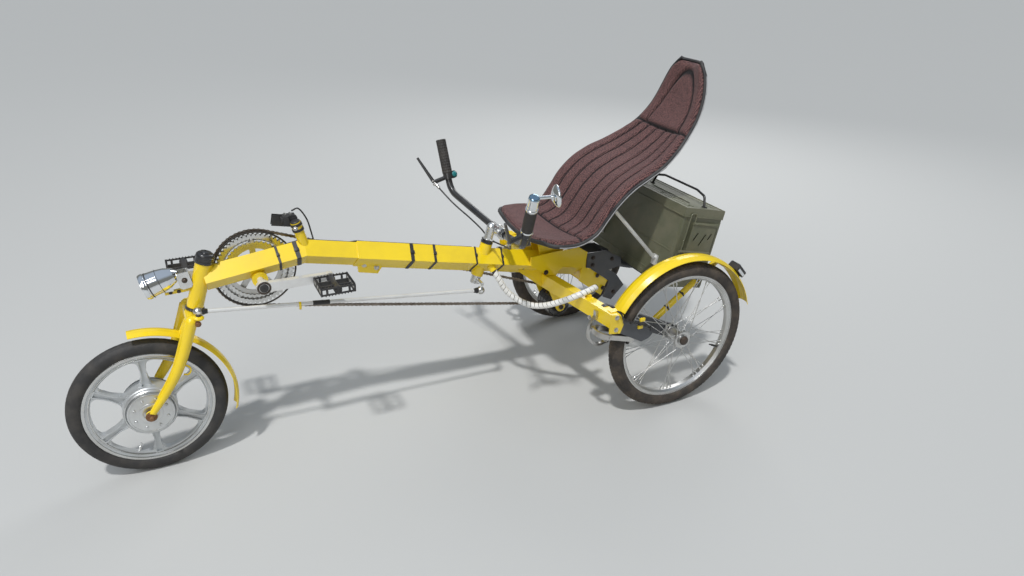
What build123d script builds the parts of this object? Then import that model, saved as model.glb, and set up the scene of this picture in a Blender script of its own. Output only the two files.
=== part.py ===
from build123d import *
from math import atan2, cos, degrees, pi, radians, sin, sqrt, tan
import os

# A recumbent delta trike: one steered front wheel with a hub motor, two rear wheels on
# cantilevered arms, a beam between them, an S-shaped seat and a steel box behind it.
# Millimetres. X is forward, Y is left and Z is up, with the ground at Z = 0.
# Every place below is measured ahead of the rear axle; the written parts are moved so
# that the origin is under the middle of the whole trike.

# Driving dimensions: stance
WHEELBASE = 1527.0
HALF_TRACK = 338.0
FRONT_TYRE_R = 204.0
REAR_TYRE_R = 250.0
RUNNING_CLEARANCE = 0.05
SEATING_GAP = 0.3

# Front wheel
FRONT_TYRE_W = 44.0
FRONT_RIM_R = FRONT_TYRE_R - 36
FRONT_RIM_DEPTH = 22.0
FRONT_RIM_W = 30.0
MOTOR_R = 70.0
MOTOR_W = 74.0
MOTOR_COVER_R = 60.0
MOTOR_COVER_T = 6.0
SPOKE_COUNT = 6
SPOKE_W = 24.0
SPOKE_ROOT_W = 26.0
SPOKE_WAIST_W = 15.0
SPOKE_TIP_W = 20.0
SPOKE_GROOVE = 6.0
SPOKE_LIP = 3.0
FRONT_AXLE_R = 6.0

# Rear wheels
REAR_TYRE_W = 47.0
REAR_RIM_R = REAR_TYRE_R - 39
REAR_RIM_DEPTH = 15.0
REAR_RIM_W = 26.0
HUB_R = 17.0
HUB_FLANGE_R = 29.0
HUB_FLANGE_T = 4.0
HUB_FLANGE_GAP = 56.0
HUB_CAP_R = 13.0
HUB_CAP_T = 6.0
REAR_AXLE_R = 8.5
REAR_SPOKES = 36
REAR_SPOKE_R = 1.1

# Head tube, fork and steering
HEAD_TILT = 18.0
HEAD_FOOT = (WHEELBASE - 156, 478.0)
HEAD_TUBE_L = 127.0
HEAD_TUBE_R = 22.0
HEAD_TUBE_BORE = 17.5
HEADSET_CUP_T = 8.0
HEADSET_CUP_R = 24.0
STEERER_R = 14.3
CAP_T = 20.0
CROWN_T = 24.0
CROWN_R = 20.0
BLADE_Y = 58.0
DROPOUT_R = 14.0
DROPOUT_T = 8.0
ARM_REACH = 52.0
STEER_MAX = 30.0

# Beam
BOOM_SIDE = 50.0
SLEEVE_SIDE = 55.6
SLEEVE_WALL = 2.6
BEND = (1070.0, 587.0)
BEAM_TAIL = (180.0, 394.0)
BOOM_HEAD = (HEAD_FOOT[0] - 34, 553.0)
SEAM_X = 928.0
BOOM_OVERLAP = 110.0
GUSSET_L = 95.0
GUSSET_HALF_H = 47.0

# Cranks and chain
BB = (WHEELBASE - 327, 538.0)
BB_SHELL_R = 21.0
BB_SHELL_HALF = 34.0
SPINDLE_R = 9.0
CRANK_L = 175.0
CRANK_Y = 84.0
PEDAL_SPAN = 92.0
PEDAL_L = 96.0
PEDAL_T = 26.0
PEDAL_SPINDLE_R = 5.0
CHAIN_Y = -50.0
CHAIN_PITCH = 12.7
RING_TEETH = 52
RING_T = 3.0
MID_HUB = (262.0, 272.0)
MID_SPROCKET_TEETH = 14
MID_HUB_R = 40.0
MID_HUB_HALF = 40.0
MID_HUB_AXLE_R = 6.0
CHAIN_W = 8.0
CHAIN_H = 8.0

# Handlebar
BAR_AXIS_E = 648.0
BAR_R = 11.0
BAR_HALF = 331.0
BAR_MID = (464.0, 551.0)
LEVER_FROM_END = 113.5
BAR_END_R = 9.0
BAR_END_DEPTH = 40.0
GRIP_R = 16.5
GRIP_L = 112.0
MIRROR_MOUNT_L = 38.0
SHAFT_R = 12.0
SHAFT_TUBE_R = 19.0
PIVOT_LOW = 420.0
PIVOT_HIGH = 522.0
BALL_R = 6.0
FRONT_BALL_Z = 485.0
REAR_BALL_Z = 390.0
LINK_R = 5.5

# Brake cables: from each lever along under the bar to a stop on the shaft
BAR_CABLE_R = 2.5
BAR_CABLE = [
    (564, 267, 628),
    (544, 233, 598),
    (527, 192, 577),
    (512, 146, 562),
    (502, 100, 549),
    (495, 62, 538),
    (500, 26, 535),
]
CABLE_STOP_L = 24.0
CABLE_STOP_R = 4.0

# Rear frame
CROSS_D = 32.0
CROSS_H = 46.0
CROSS_HALF = HALF_TRACK + 34
CROSS_END = (REAR_TYRE_R + 2, REAR_TYRE_R + 115)
CROSS_MID = (CROSS_END[0] + 53, CROSS_END[1])
CAP_PLATE_T = 4.0
CAP_REAR = [(6, 23), (16, -7), (6, -35)]
ARM_T = 14.0
ARM_FOOT_R = 22.0
ARM_HEAD_R = 26.0

# Mudguards
GUARD_T = 2.0
FRONT_GUARD_R = FRONT_TYRE_R + 28
FRONT_GUARD_W = 46.0
FRONT_GUARD_ARC = (85.0, 195.0)
REAR_GUARD_R = REAR_TYRE_R + 25
REAR_GUARD_W = 56.0
REAR_GUARD_ARC = (31.0, 165.0)
STAY_R = 10.0

# Seat
SHELL_T = 6.0
SEAT_DISH = 22.0
PAD_T = 24.0
PAD_INSET = 9.0

# Box behind the seat
BOX_W = 465.0
BOX_D = 157.0
BOX_H = 267.0
BOX_WALL = 2.0
LID_H = 28.0
BOX_LEAN = 12.5
BOX_FOOT = (-11.0, 373.0)
CHEEK_Y = SLEEVE_SIDE * sqrt(2) / 2 - 2.5
HINGE_AT = (-(BOX_W / 2 + 9), BOX_H - LID_H - 3)
LATCH_OFF = 7.0
LATCH_ROD_R = 5.0
LATCH_PLATE = (-90.0, BOX_H - 95, 100.0, 95.0)
LATCH_SLOTS = [
    # x, z, length in the box's own frame
    (-64, BOX_H - 90, 30),
    (-95, BOX_H - 99, 44),
    (-122, BOX_H - 87, 26),
]
BAIL_R = 4.0
BAIL_X = -95.0
HINGE_R = 4.5
HINGE_PIN_R = 2.2

# The wrapped cable loom, from under the beam, down and up in front of the cross tube, over it
LOOM_R = 9.0
LOOM = [
    (500, 30, 437),
    (488, 45, 414),
    (477, 53, 386),
    (452, 66, 353),
    (405, 104, 328),
    (374, 143, 340),
    (345, 180, 364),
    (325, 206, 384),
    (298, 222, 400),
    (262, 222, 408),
    (232, 211, 409),
]
LOOM_CLIP_AT = (266, 222)

# The middle of the trike's length, which becomes the origin
FRONT_REACH = WHEELBASE + FRONT_TYRE_R
REAR_REACH = (REAR_GUARD_R + GUARD_T) * cos(radians(180 - REAR_GUARD_ARC[1]))
ORIGIN_X = (FRONT_REACH - REAR_REACH) / 2

os.makedirs("parts", exist_ok=True)


def save(name, *pieces):
    whole = pieces[0] if len(pieces) == 1 else Compound(children=[Part(p.wrapped) for p in pieces])
    export_step(Pos(-ORIGIN_X, 0, 0) * whole, f"parts/{name}.step")


def at(x, y, z):
    return Vector(x, y, z)


def frame_along(start, end, side=(0, 1, 0)):
    # A plane at start that looks towards end, with its own X along side
    return Plane(origin=start, x_dir=side, z_dir=Vector(*end) - Vector(*start))


def rod(start, end, radius, end_radius=None):
    start, end = Vector(*start), Vector(*end)
    place = Plane(origin=start, z_dir=end - start).location
    length = (end - start).length
    if end_radius is None:
        return place * extrude(Circle(radius), length)
    return place * Pos(0, 0, length / 2) * Cone(radius, end_radius, length)


def disc(centre, radius, low_y, high_y):
    # A disc about an axis along Y
    return Plane(origin=(centre[0], high_y, centre[1]), z_dir=(0, -1, 0)).location * extrude(
        Circle(radius), high_y - low_y)


def plate(points, low_y, high_y):
    # A flat plate in the side view, from its corners (x, z)
    outline = Plane.XZ * make_face(Polyline(*points, close=True))
    return Pos(0, high_y, 0) * extrude(outline, high_y - low_y)


def strap(start, end, start_r, end_r, low_y, high_y):
    # A plate with round ends between two centres (x, z)
    a, b = Vector(*start), Vector(*end)
    along = (b - a).normalized()
    turn = degrees(atan2(along.Y, along.X))
    length = (b - a).length
    lean = degrees(atan2(start_r - end_r, length))
    up, down = radians(90 - lean), radians(-90 + lean)
    corners = [(start_r * cos(up), start_r * sin(up)),
               (length + end_r * cos(up), end_r * sin(up)),
               (length + end_r * cos(down), end_r * sin(down)),
               (start_r * cos(down), start_r * sin(down))]
    web = make_face(Polyline(*corners, close=True))
    flat = web + Circle(start_r) + Pos(length, 0) * Circle(end_r)
    placed = Plane.XZ * Pos(a.X, a.Y) * Rot(0, 0, turn) * flat
    return Pos(0, high_y, 0) * extrude(placed, high_y - low_y)


def ring(centre, inner, outer, low_y, high_y):
    return disc(centre, outer, low_y, high_y) - disc(centre, inner, low_y - 1, high_y + 1)


def cord(points, radius):
    # A tube of straight runs and the largest arcs that the runs allow
    corners = [Vector(*p) for p in points]
    radii = []
    for before, here, after in zip(corners, corners[1:], corners[2:]):
        run = min((here - before).length, (after - here).length)
        turn = (here - before).get_angle(after - here)
        radii.append(0.45 * run / tan(radians(turn / 2)))
    path = FilletPolyline(*corners, radius=radii)
    start = Plane(origin=path @ 0, z_dir=path % 0)
    body = sweep(start * Circle(radius), path)
    share = body.volume / (pi * radius ** 2 * path.length)
    print("radii", [round(r) for r in radii], "volume share", round(share, 3))
    return body


def turned(profile, centre, y, arc=None):
    # Turns a profile of (radius, offset along Y) about a wheel's axle
    face = make_face(Polyline(*profile, close=True))
    solid = revolve(face, Axis.Y, 360 if arc is None else arc[1] - arc[0])
    return Pos(centre[0], y, centre[1]) * Rot(0, 0 if arc is None else -arc[1], 0) * solid


# The two parallel steering axes lean back by HEAD_TILT
LEAN = radians(HEAD_TILT)
AXIS = Vector(-sin(LEAN), 0, cos(LEAN))
ACROSS = Vector(cos(LEAN), 0, sin(LEAN))
HEAD_E = HEAD_FOOT[0] * ACROSS.X + HEAD_FOOT[1] * ACROSS.Z


def on_axis(e, z, y=0.0):
    # The point at height z on the leaning line whose distance along ACROSS is e
    return at((e - z * ACROSS.Z) / ACROSS.X, y, z)


def head(s, y=0.0):
    # A point on the head axis, s above the head tube's foot
    return at(HEAD_FOOT[0], y, HEAD_FOOT[1]) + AXIS * s


def collar(base, low, high, radius, bore=None):
    # A round piece about a steering axis, from low to high above base
    place = Plane(origin=base + AXIS * low, x_dir=(0, 1, 0), z_dir=AXIS).location
    body = place * extrude(Circle(radius), high - low)
    if bore is None:
        return body
    return body - place * Pos(0, 0, -1) * extrude(Circle(bore), high - low + 2)


def rhombus(half_w, half_h):
    return make_face(Polyline((-half_h, 0), (0, half_w), (half_h, 0), (0, -half_w), close=True))


def diamond(side, path_start, path_end):
    plane = frame_along(path_start, path_end)
    return plane.location * Rot(0, 0, 45) * Rectangle(side, side)


# Front boom: head tube, gusset, diamond tube, bottom bracket shell and posts
def front_boom():
    start, bend = at(BOOM_HEAD[0], 0, BOOM_HEAD[1]), at(BEND[0], 0, BEND[1])
    tail = at(BEAM_TAIL[0], 0, BEAM_TAIL[1])
    back = (tail - bend).normalized()
    seam = bend + back * ((BEND[0] - SEAM_X) / -back.X)
    inner_end = seam + back * BOOM_OVERLAP
    path = Polyline(tuple(start), tuple(bend), tuple(inner_end))
    tube = sweep(diamond(BOOM_SIDE, start, bend), path, transition=Transition.RIGHT)
    foot = at(HEAD_FOOT[0], 0, HEAD_FOOT[1])
    # The gusset narrows to the head tube's width as it grows taller
    flare_from = start + (bend - start).normalized() * GUSSET_L
    forward = frame_along(flare_from, start)
    corner = BOOM_SIDE * sqrt(2) / 2
    reach = GUSSET_L + 22
    gusset = loft([forward.location * rhombus(corner, corner),
                   forward.location * Pos(0, 0, reach) * rhombus(HEAD_TUBE_R - 3, GUSSET_HALF_H)], ruled=True)
    tube_body = collar(foot, 0, HEAD_TUBE_L, HEAD_TUBE_R)
    shell = disc(BB, BB_SHELL_R, -BB_SHELL_HALF, BB_SHELL_HALF)
    post = rod((1066, 0, 600), (1086, 0, 676), 14)
    hx = HEAD_FOOT[0]
    lamp_arm = plate([(hx - 26, 554), (hx + 19, 535), (hx + 67, 532), (hx + 67, 525), (hx + 17, 527),
                      (hx - 21, 532)], -6, 6)
    body = tube + gusset + tube_body + shell + post + lamp_arm
    body -= collar(foot, -80, 0, 40) + collar(foot, HEAD_TUBE_L, HEAD_TUBE_L + 60, 40)
    body -= disc(BB, SPINDLE_R + RUNNING_CLEARANCE, -BB_SHELL_HALF - 20, BB_SHELL_HALF + 20)
    return body - collar(foot, -1, HEAD_TUBE_L + 1, HEAD_TUBE_BORE)


# Main beam: the sleeve that the boom slides into, back to the cross tube
def main_beam():
    bend, tail = at(BEND[0], 0, BEND[1]), at(BEAM_TAIL[0], 0, BEAM_TAIL[1])
    back = (tail - bend).normalized()
    seam = bend + back * ((BEND[0] - SEAM_X) / -back.X)
    plane = frame_along(seam, tail)
    length = (tail - seam).length
    outer = extrude(plane.location * Rot(0, 0, 45) * Rectangle(SLEEVE_SIDE, SLEEVE_SIDE), length)
    hollow_side = SLEEVE_SIDE - 2 * SLEEVE_WALL
    hollow = extrude(plane.location * Rot(0, 0, 45) * Rectangle(hollow_side, hollow_side), length - 6)
    pivot = rod(on_axis(BAR_AXIS_E, PIVOT_LOW), on_axis(BAR_AXIS_E, PIVOT_HIGH), SHAFT_TUBE_R)
    bracket = plate([(924, 540), (845, 512), (865, 484), (922, 498)], -5, 5)
    cheek = [(374, 466), (300, 470), (199, 473), (164, 449), (171, 397), (208, 400), (236, 411), (256, 412),
             (270, 400), (282, 388.5), (310, 391), (335, 408), (374, 436)]
    corner = SLEEVE_SIDE * sqrt(2) / 2
    cheeks = plate(cheek, corner - 2.5, corner + 3.5) + plate(cheek, -corner - 3.5, -corner + 2.5)
    loom_end, loom_next = Vector(*LOOM[0]), Vector(*LOOM[1])
    gland = rod(loom_end, loom_end + (loom_end - loom_next).normalized() * 20, LOOM_R + 2.5)
    body = outer + bracket + cheeks + gland - hollow + pivot
    bore_from, bore_to = on_axis(BAR_AXIS_E, PIVOT_LOW - 10), on_axis(BAR_AXIS_E, PIVOT_HIGH + 10)
    return body - rod(bore_from, bore_to, SHAFT_R + RUNNING_CLEARANCE)


def beam_envelope(grow=0.0):
    # The outside of the main beam as one solid, for what is cut to sit on it
    bend, tail = at(BEND[0], 0, BEND[1]), at(BEAM_TAIL[0], 0, BEAM_TAIL[1])
    back = (tail - bend).normalized()
    seam = bend + back * ((BEND[0] - SEAM_X) / -back.X)
    plane = frame_along(seam, tail)
    side = SLEEVE_SIDE + 2 * grow
    return extrude(plane.location * Rot(0, 0, 45) * Rectangle(side, side), (tail - seam).length + grow)


# Headset: two cups in the head tube that carry the steerer
def headset():
    foot = at(HEAD_FOOT[0], 0, HEAD_FOOT[1])
    bore = STEERER_R + RUNNING_CLEARANCE
    lower = collar(foot, -HEADSET_CUP_T, 0, HEADSET_CUP_R, bore)
    lower += collar(foot, 0, 12, HEAD_TUBE_BORE, bore)
    upper = collar(foot, HEAD_TUBE_L, HEAD_TUBE_L + HEADSET_CUP_T, HEADSET_CUP_R, bore)
    upper += collar(foot, HEAD_TUBE_L - 12, HEAD_TUBE_L, HEAD_TUBE_BORE, bore)
    return lower, upper


BLADE_PATH = [
    # x, z, radius
    (WHEELBASE - 138, 462, 16.5),
    (WHEELBASE - 118, 408, 16),
    (WHEELBASE - 83, FRONT_TYRE_R + 121, 14),
    (WHEELBASE - 35, FRONT_TYRE_R + 48, 11.5),
    (WHEELBASE - 3, FRONT_TYRE_R + 6, 9),
]


# Fork: steerer, crown, two swept blades, dropouts and the left steering arm
def fork_leg():
    x0, z0, r0 = BLADE_PATH[0]
    sections = []
    last = len(BLADE_PATH) - 1
    for i, (x, z, r) in enumerate(BLADE_PATH):
        before, after = BLADE_PATH[max(i - 1, 0)], BLADE_PATH[min(i + 1, last)]
        along = (after[0] - before[0], 0, after[1] - before[1])
        sections.append(Plane(origin=(x, BLADE_Y, z), x_dir=(0, 1, 0), z_dir=along).location * Circle(r))
    leg = loft(sections) + Pos(x0, BLADE_Y, z0) * Sphere(r0 - 0.4)
    leg += rod((x0, -1, z0 - 2), (x0, BLADE_Y, z0 - 2), 13.5)
    leg += disc((WHEELBASE, FRONT_TYRE_R), DROPOUT_R, BLADE_Y - 6, BLADE_Y + 2)
    leg -= disc((WHEELBASE, FRONT_TYRE_R), FRONT_AXLE_R, BLADE_Y - 12, BLADE_Y + 12)
    return leg - disc((WHEELBASE, FRONT_TYRE_R), 11, BLADE_Y + 2, BLADE_Y + 12)


def fork():
    foot = at(HEAD_FOOT[0], 0, HEAD_FOOT[1])
    crown_top, crown_low = -HEADSET_CUP_T - 0.5, -HEADSET_CUP_T - CROWN_T
    body = collar(foot, crown_low, crown_top, CROWN_R)
    body += collar(foot, crown_low, HEAD_TUBE_L + HEADSET_CUP_T + 6, STEERER_R)
    leg = fork_leg()
    body += leg
    body += mirror(leg, Plane.XZ)
    x0, z0, r0 = BLADE_PATH[0]
    ball = on_axis(HEAD_E, FRONT_BALL_Z, ARM_REACH)
    body += rod((x0 - 8, BLADE_Y - 2, z0), ball + AXIS * -13, 8, 6)
    body += rod(ball + AXIS * -15, ball + AXIS * -4, 4)
    return body + Pos(*ball) * Sphere(BALL_R)


def headset_cap():
    foot = at(HEAD_FOOT[0], 0, HEAD_FOOT[1])
    base = HEAD_TUBE_L + HEADSET_CUP_T + 0.5
    bore = STEERER_R
    body = collar(foot, base, base + CAP_T, HEADSET_CUP_R)
    top_edge = body.edges().sort_by(Axis.Z).last
    body = fillet(top_edge, 9)
    return body - collar(foot, base - 1, HEAD_TUBE_L + HEADSET_CUP_T + 6, bore)


def front_axle():
    half = BLADE_Y + 10
    body = disc((WHEELBASE, FRONT_TYRE_R), FRONT_AXLE_R, -half, half)
    for side in (-1, 1):
        low, high = sorted((side * (BLADE_Y + 2), side * (BLADE_Y + 9)))
        body += Plane(origin=(WHEELBASE, high, FRONT_TYRE_R), z_dir=(0, -1, 0)).location * extrude(
            RegularPolygon(10, 6), high - low)
    return body


def guard(radius, width, arc, centre, y):
    # A crowned mudguard: a thin arched section turned about the axle
    half = width / 2
    drop = width / 7
    section = [(radius - drop, -half), (radius, -half / 2), (radius + 2, 0), (radius, half / 2),
               (radius - drop, half)]
    inner = [(r - GUARD_T, o) for r, o in reversed(section)]
    return turned(section + inner, centre, y, arc)


def front_mudguard():
    centre = (WHEELBASE, FRONT_TYRE_R)
    body = guard(FRONT_GUARD_R, FRONT_GUARD_W, FRONT_GUARD_ARC, centre, 0)
    x0, z0, r0 = BLADE_PATH[0]
    out = (at(x0, 0, z0 - 2) - at(centre[0], 0, centre[1]))
    reach = out.length - 13.5 - SEATING_GAP
    out = out.normalized()
    hub = at(centre[0], 0, centre[1])
    return body + rod(hub + out * (FRONT_GUARD_R - 1), hub + out * reach, 7)


# Front wheel: cast rim with six grooved spokes round the hub motor
def spoke_outline(inset):
    root, tip = MOTOR_R - 4 + inset, FRONT_RIM_R - FRONT_RIM_DEPTH + 4 - inset
    widths = [(root, SPOKE_ROOT_W / 2 - inset), (0.55 * root + 0.45 * tip, SPOKE_WAIST_W / 2 - inset),
              (tip, SPOKE_TIP_W / 2 - inset)]
    lower = [(r, -w) for r, w in reversed(widths)]
    return Plane.XZ * make_face(Polyline(*widths, *lower, close=True))


def front_casting():
    centre = (WHEELBASE, FRONT_TYRE_R)
    half = FRONT_RIM_W / 2
    inner = FRONT_RIM_R - FRONT_RIM_DEPTH
    lower = [(inner, -half + 8), (inner + 9, -half + 3), (FRONT_RIM_R - 4, -half), (FRONT_RIM_R, -half)]
    upper = [(r, -o) for r, o in reversed(lower)]
    body = turned(lower + upper, centre, 0)
    motor = MOTOR_W / 2
    body += turned([(0, -motor), (MOTOR_R - 12, -motor), (MOTOR_R, -motor + 12), (MOTOR_R, motor - 12),
                    (MOTOR_R - 12, motor), (0, motor)], centre, 0)
    spoke = extrude(spoke_outline(0), SPOKE_W / 2, both=True)
    groove = extrude(spoke_outline(SPOKE_LIP), SPOKE_GROOVE)
    deep = SPOKE_W / 2
    spoke -= Pos(0, deep, 0) * groove + Pos(0, SPOKE_GROOVE - deep, 0) * groove
    for i in range(SPOKE_COUNT):
        angle = 90 + i * 360 / SPOKE_COUNT
        body += Pos(centre[0], 0, centre[1]) * Rot(0, -angle, 0) * spoke
    return body - disc(centre, FRONT_AXLE_R + RUNNING_CLEARANCE, -motor - 1, motor + 1)


def motor_covers():
    centre = (WHEELBASE, FRONT_TYRE_R)
    face = MOTOR_W / 2
    covers = []
    for side in (-1, 1):
        low, high = sorted((side * face, side * (face + MOTOR_COVER_T)))
        cover = disc(centre, MOTOR_COVER_R, low, high)
        covers.append(cover - disc(centre, FRONT_AXLE_R + RUNNING_CLEARANCE, low - 1, high + 1))
    return covers


def tyre(centre, y, radius, width, seat_radius):
    # A tyre's section: a circle cut flat at the rim
    core = radius - width / 2
    bead = sqrt(max((width / 2) ** 2 - (core - seat_radius) ** 2, 1))
    section = Pos(core, 0) * Circle(width / 2)
    section -= Pos(seat_radius - width / 2, 0) * Rectangle(width, width)
    solid = revolve(section, Axis.Y, 360)
    return Pos(centre[0], y, centre[1]) * solid


def front_tyre():
    return tyre((WHEELBASE, FRONT_TYRE_R), 0, FRONT_TYRE_R, FRONT_TYRE_W, FRONT_RIM_R)


# Rear wheels
HUB_MID = HALF_TRACK + 2
HUB_INNER = HUB_MID - HUB_FLANGE_GAP / 2 - HUB_FLANGE_T / 2
HUB_OUTER = HUB_MID + HUB_FLANGE_GAP / 2 + HUB_FLANGE_T / 2
ARM_OUTER = HUB_INNER - 6
ARM_INNER = ARM_OUTER - ARM_T
BRAKE_AT = (278.0, 321.0)
BRAKE_BOW_R = 33.0
BRAKE_BAR_T = 7.4
HOOK_Y = HALF_TRACK - 42


def rear_rim(side):
    half = REAR_RIM_W / 2
    inner = REAR_RIM_R - REAR_RIM_DEPTH
    return turned([(inner, -half + 6), (inner + 6, -half), (REAR_RIM_R, -half), (REAR_RIM_R, half),
                   (inner + 6, half), (inner, half - 6)], (0, REAR_TYRE_R), side * HALF_TRACK)


def rear_hub(side):
    centre = (0, REAR_TYRE_R)
    low, high = sorted((side * HUB_INNER, side * HUB_OUTER))
    body = disc(centre, HUB_R, low, high)
    for flange in (HUB_INNER, HUB_OUTER - HUB_FLANGE_T):
        a, b = sorted((side * flange, side * (flange + HUB_FLANGE_T)))
        body += disc(centre, HUB_FLANGE_R, a, b)
    a, b = sorted((side * HUB_OUTER, side * (HUB_OUTER + HUB_CAP_T)))
    body += disc(centre, HUB_CAP_R, a, b)
    a, b = sorted((side * (HUB_INNER - 2), side * (HUB_OUTER - 4)))
    body -= disc(centre, REAR_AXLE_R + RUNNING_CLEARANCE, a, b)
    reach = REAR_RIM_R - REAR_RIM_DEPTH - SEATING_GAP
    per_flange = REAR_SPOKES // 2
    for i in range(REAR_SPOKES):
        outer = i % 2
        pair = i // 2
        lean = 1 if pair % 2 else -1
        root_angle = radians(360 / per_flange * pair + outer * 180 / per_flange)
        tip_angle = root_angle + lean * radians(52)
        flange = (HUB_OUTER - HUB_FLANGE_T / 2) if outer else (HUB_INNER + HUB_FLANGE_T / 2)
        y_root = side * (flange + lean * 1.5)
        root_r = HUB_FLANGE_R - 5
        y_tip = side * (HALF_TRACK + (3 if outer else -3))
        root = (root_r * cos(root_angle), y_root, REAR_TYRE_R + root_r * sin(root_angle))
        tip = (reach * cos(tip_angle), y_tip, REAR_TYRE_R + reach * sin(tip_angle))
        body += rod(root, tip, REAR_SPOKE_R)
    return body


def rear_tyre(side):
    return tyre((0, REAR_TYRE_R), side * HALF_TRACK, REAR_TYRE_R, REAR_TYRE_W, REAR_RIM_R)


# Rear frame: the swept cross tube, its end plates and the arms that carry the wheels
def cross_body(grow=0.0):
    (x0, z0), (x1, z1) = CROSS_MID, CROSS_END
    half = CROSS_D / 2 + grow
    outline = [(x0 + half, 0), (x1 + half, CROSS_HALF), (x1 - half, CROSS_HALF), (x0 - half, 0),
               (x1 - half, -CROSS_HALF), (x1 + half, -CROSS_HALF)]
    low = z0 - CROSS_H / 2 - grow
    return Pos(0, 0, low) * extrude(make_face(Polyline(*outline, close=True)), CROSS_H + 2 * grow)


def cross_tube():
    x0, z0 = CROSS_MID
    x1, z1 = CROSS_END
    body = cross_body()
    cap = [(x1 + 32, z1 + 33), *[(x1 - dx, z1 + dz) for dx, dz in CAP_REAR], (x1 + 32, z1 - 29)]
    body += plate(cap, CROSS_HALF, CROSS_HALF + CAP_PLATE_T)
    body += plate(cap, -CROSS_HALF - CAP_PLATE_T, -CROSS_HALF)
    for y in (-64, 48):
        body += strap((x0 - 10, z0 - 15), MID_HUB, 16, 16, y, y + 6)
    body -= disc(MID_HUB, MID_HUB_AXLE_R + SEATING_GAP, -70, 70)
    saddle = plate([(350, 415), (240, 394), (280, 345), (321, 345)], -11, 11)
    gusset = [(404, 436), (404, 411), (322, 343), (300, 344), (300, 400), (330, 436)]
    body += plate(gusset, -16, -11) + plate(gusset, 11, 16) + saddle
    top, loom_low = z1 + CROSS_H / 2, LOOM[-2][2] - LOOM_R - 3
    clip = Pos(*LOOM_CLIP_AT, (top + loom_low) / 2) * Box(12, 20, loom_low - top)
    return body - beam_envelope(SEATING_GAP) + clip


def rear_arm(side):
    low, high = sorted((side * ARM_INNER, side * ARM_OUTER))
    head_at = (CROSS_MID[0] - 53 * ARM_INNER / CROSS_HALF - 12, CROSS_MID[1])
    body = strap(head_at, (0, REAR_TYRE_R), ARM_HEAD_R, ARM_FOOT_R, low, high)
    a, b = sorted((side * (ARM_OUTER - 1), side * (HUB_OUTER - 8)))
    return body - cross_body(SEATING_GAP) + disc((0, REAR_TYRE_R), REAR_AXLE_R, a, b)


def brake_plate(side):
    # Outside the tyre, from the cap plate at the end of the cross tube towards the rim
    x, z = CROSS_END
    low, high = sorted((side * (CROSS_HALF + SEATING_GAP), side * (CROSS_HALF + CAP_PLATE_T)))
    front = [(x - dx - SEATING_GAP, z + dz) for dx, dz in CAP_REAR]
    rear = [(x - 87, z - 81), (x - 112, z - 75), (x - 127, z - 62), (x - 116, z - 45), (x - 87, z - 29),
            (x - 40, z - 6)]
    return plate(front + rear, low, high)


def rear_mudguard(side):
    # The front tab rests on the cross tube
    body = guard(REAR_GUARD_R, REAR_GUARD_W, REAR_GUARD_ARC, (0, REAR_TYRE_R), side * HALF_TRACK)
    top = CROSS_END[1] + CROSS_H / 2 + SEATING_GAP
    low, high = sorted((side * (HALF_TRACK - 10), side * (HALF_TRACK + 10)))
    front = CROSS_END[0]
    tab = [(front - 20, top + 6), (front - 14, top + 3), (front + 12, top + 2.4), (front + 12, top),
           (front - 16, top)]
    return body + plate(tab, low, high)


def guard_stay(side):
    y = side * (ARM_INNER - STAY_R - 2)
    edge = HALF_TRACK - REAR_GUARD_W / 2
    x, z = -160, 217
    body = rod((52, y, REAR_TYRE_R + 33), (x, side * (edge - STAY_R - SEATING_GAP), REAR_TYRE_R + z), STAY_R)
    # The lug against the arm
    low, high = sorted((y, side * (ARM_INNER - SEATING_GAP)))
    body += disc((52, REAR_TYRE_R + 29), 9, low, high)
    # The tab under the guard and the pad that meets its crown
    place = Pos(0, side * HALF_TRACK, REAR_TYRE_R) * Rot(0, -degrees(atan2(z, x)), 0)
    drop = REAR_GUARD_W / 7 + GUARD_T + SEATING_GAP
    body += place * Pos(REAR_GUARD_R - drop - 1.6, side * -11, 0) * Box(3.2, 50, 16)
    return body + place * Pos(REAR_GUARD_R - GUARD_T - SEATING_GAP - 4.5, 0, 0) * Box(9, 20, 12)


def tail_lamp(side):
    angle = 138
    middle = REAR_GUARD_R + 2 + SEATING_GAP + 10
    x, z = middle * cos(radians(angle)), REAR_TYRE_R + middle * sin(radians(angle))
    return Pos(x, side * HALF_TRACK, z) * Rot(0, -angle + 90, 0) * Box(46, 40, 20)


def brake_caliper(side):
    # A horseshoe round the front of the tyre, with a pad beside each face of the rim
    y = side * HALF_TRACK
    bow = CenterArc((0, 0), BRAKE_BOW_R, -94, 188)
    start = Plane(origin=bow @ 0, z_dir=bow % 0)
    body = sweep(start * Rectangle(BRAKE_BAR_T, 16), bow)
    placed = Pos(BRAKE_AT[0], y, BRAKE_AT[1]) * Rot(0, -16, 0) * body
    pad_x, pad_z = 197, 296
    turn = degrees(atan2(pad_z - REAR_TYRE_R, pad_x))
    for face in (-1, 1):
        low, high = sorted((face * (BRAKE_BOW_R - BRAKE_BAR_T / 2), face * (BRAKE_BOW_R + 0.5)))
        placed += strap(BRAKE_AT, (pad_x, pad_z), 8, 8, y + low, y + high)
        pad = Pos(REAR_RIM_R - 10, face * 22, 0) * Box(8, 15, 30)
        placed += Pos(0, y, REAR_TYRE_R) * Rot(0, -turn, 0) * pad
    return placed + brake_hook(side)


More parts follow.
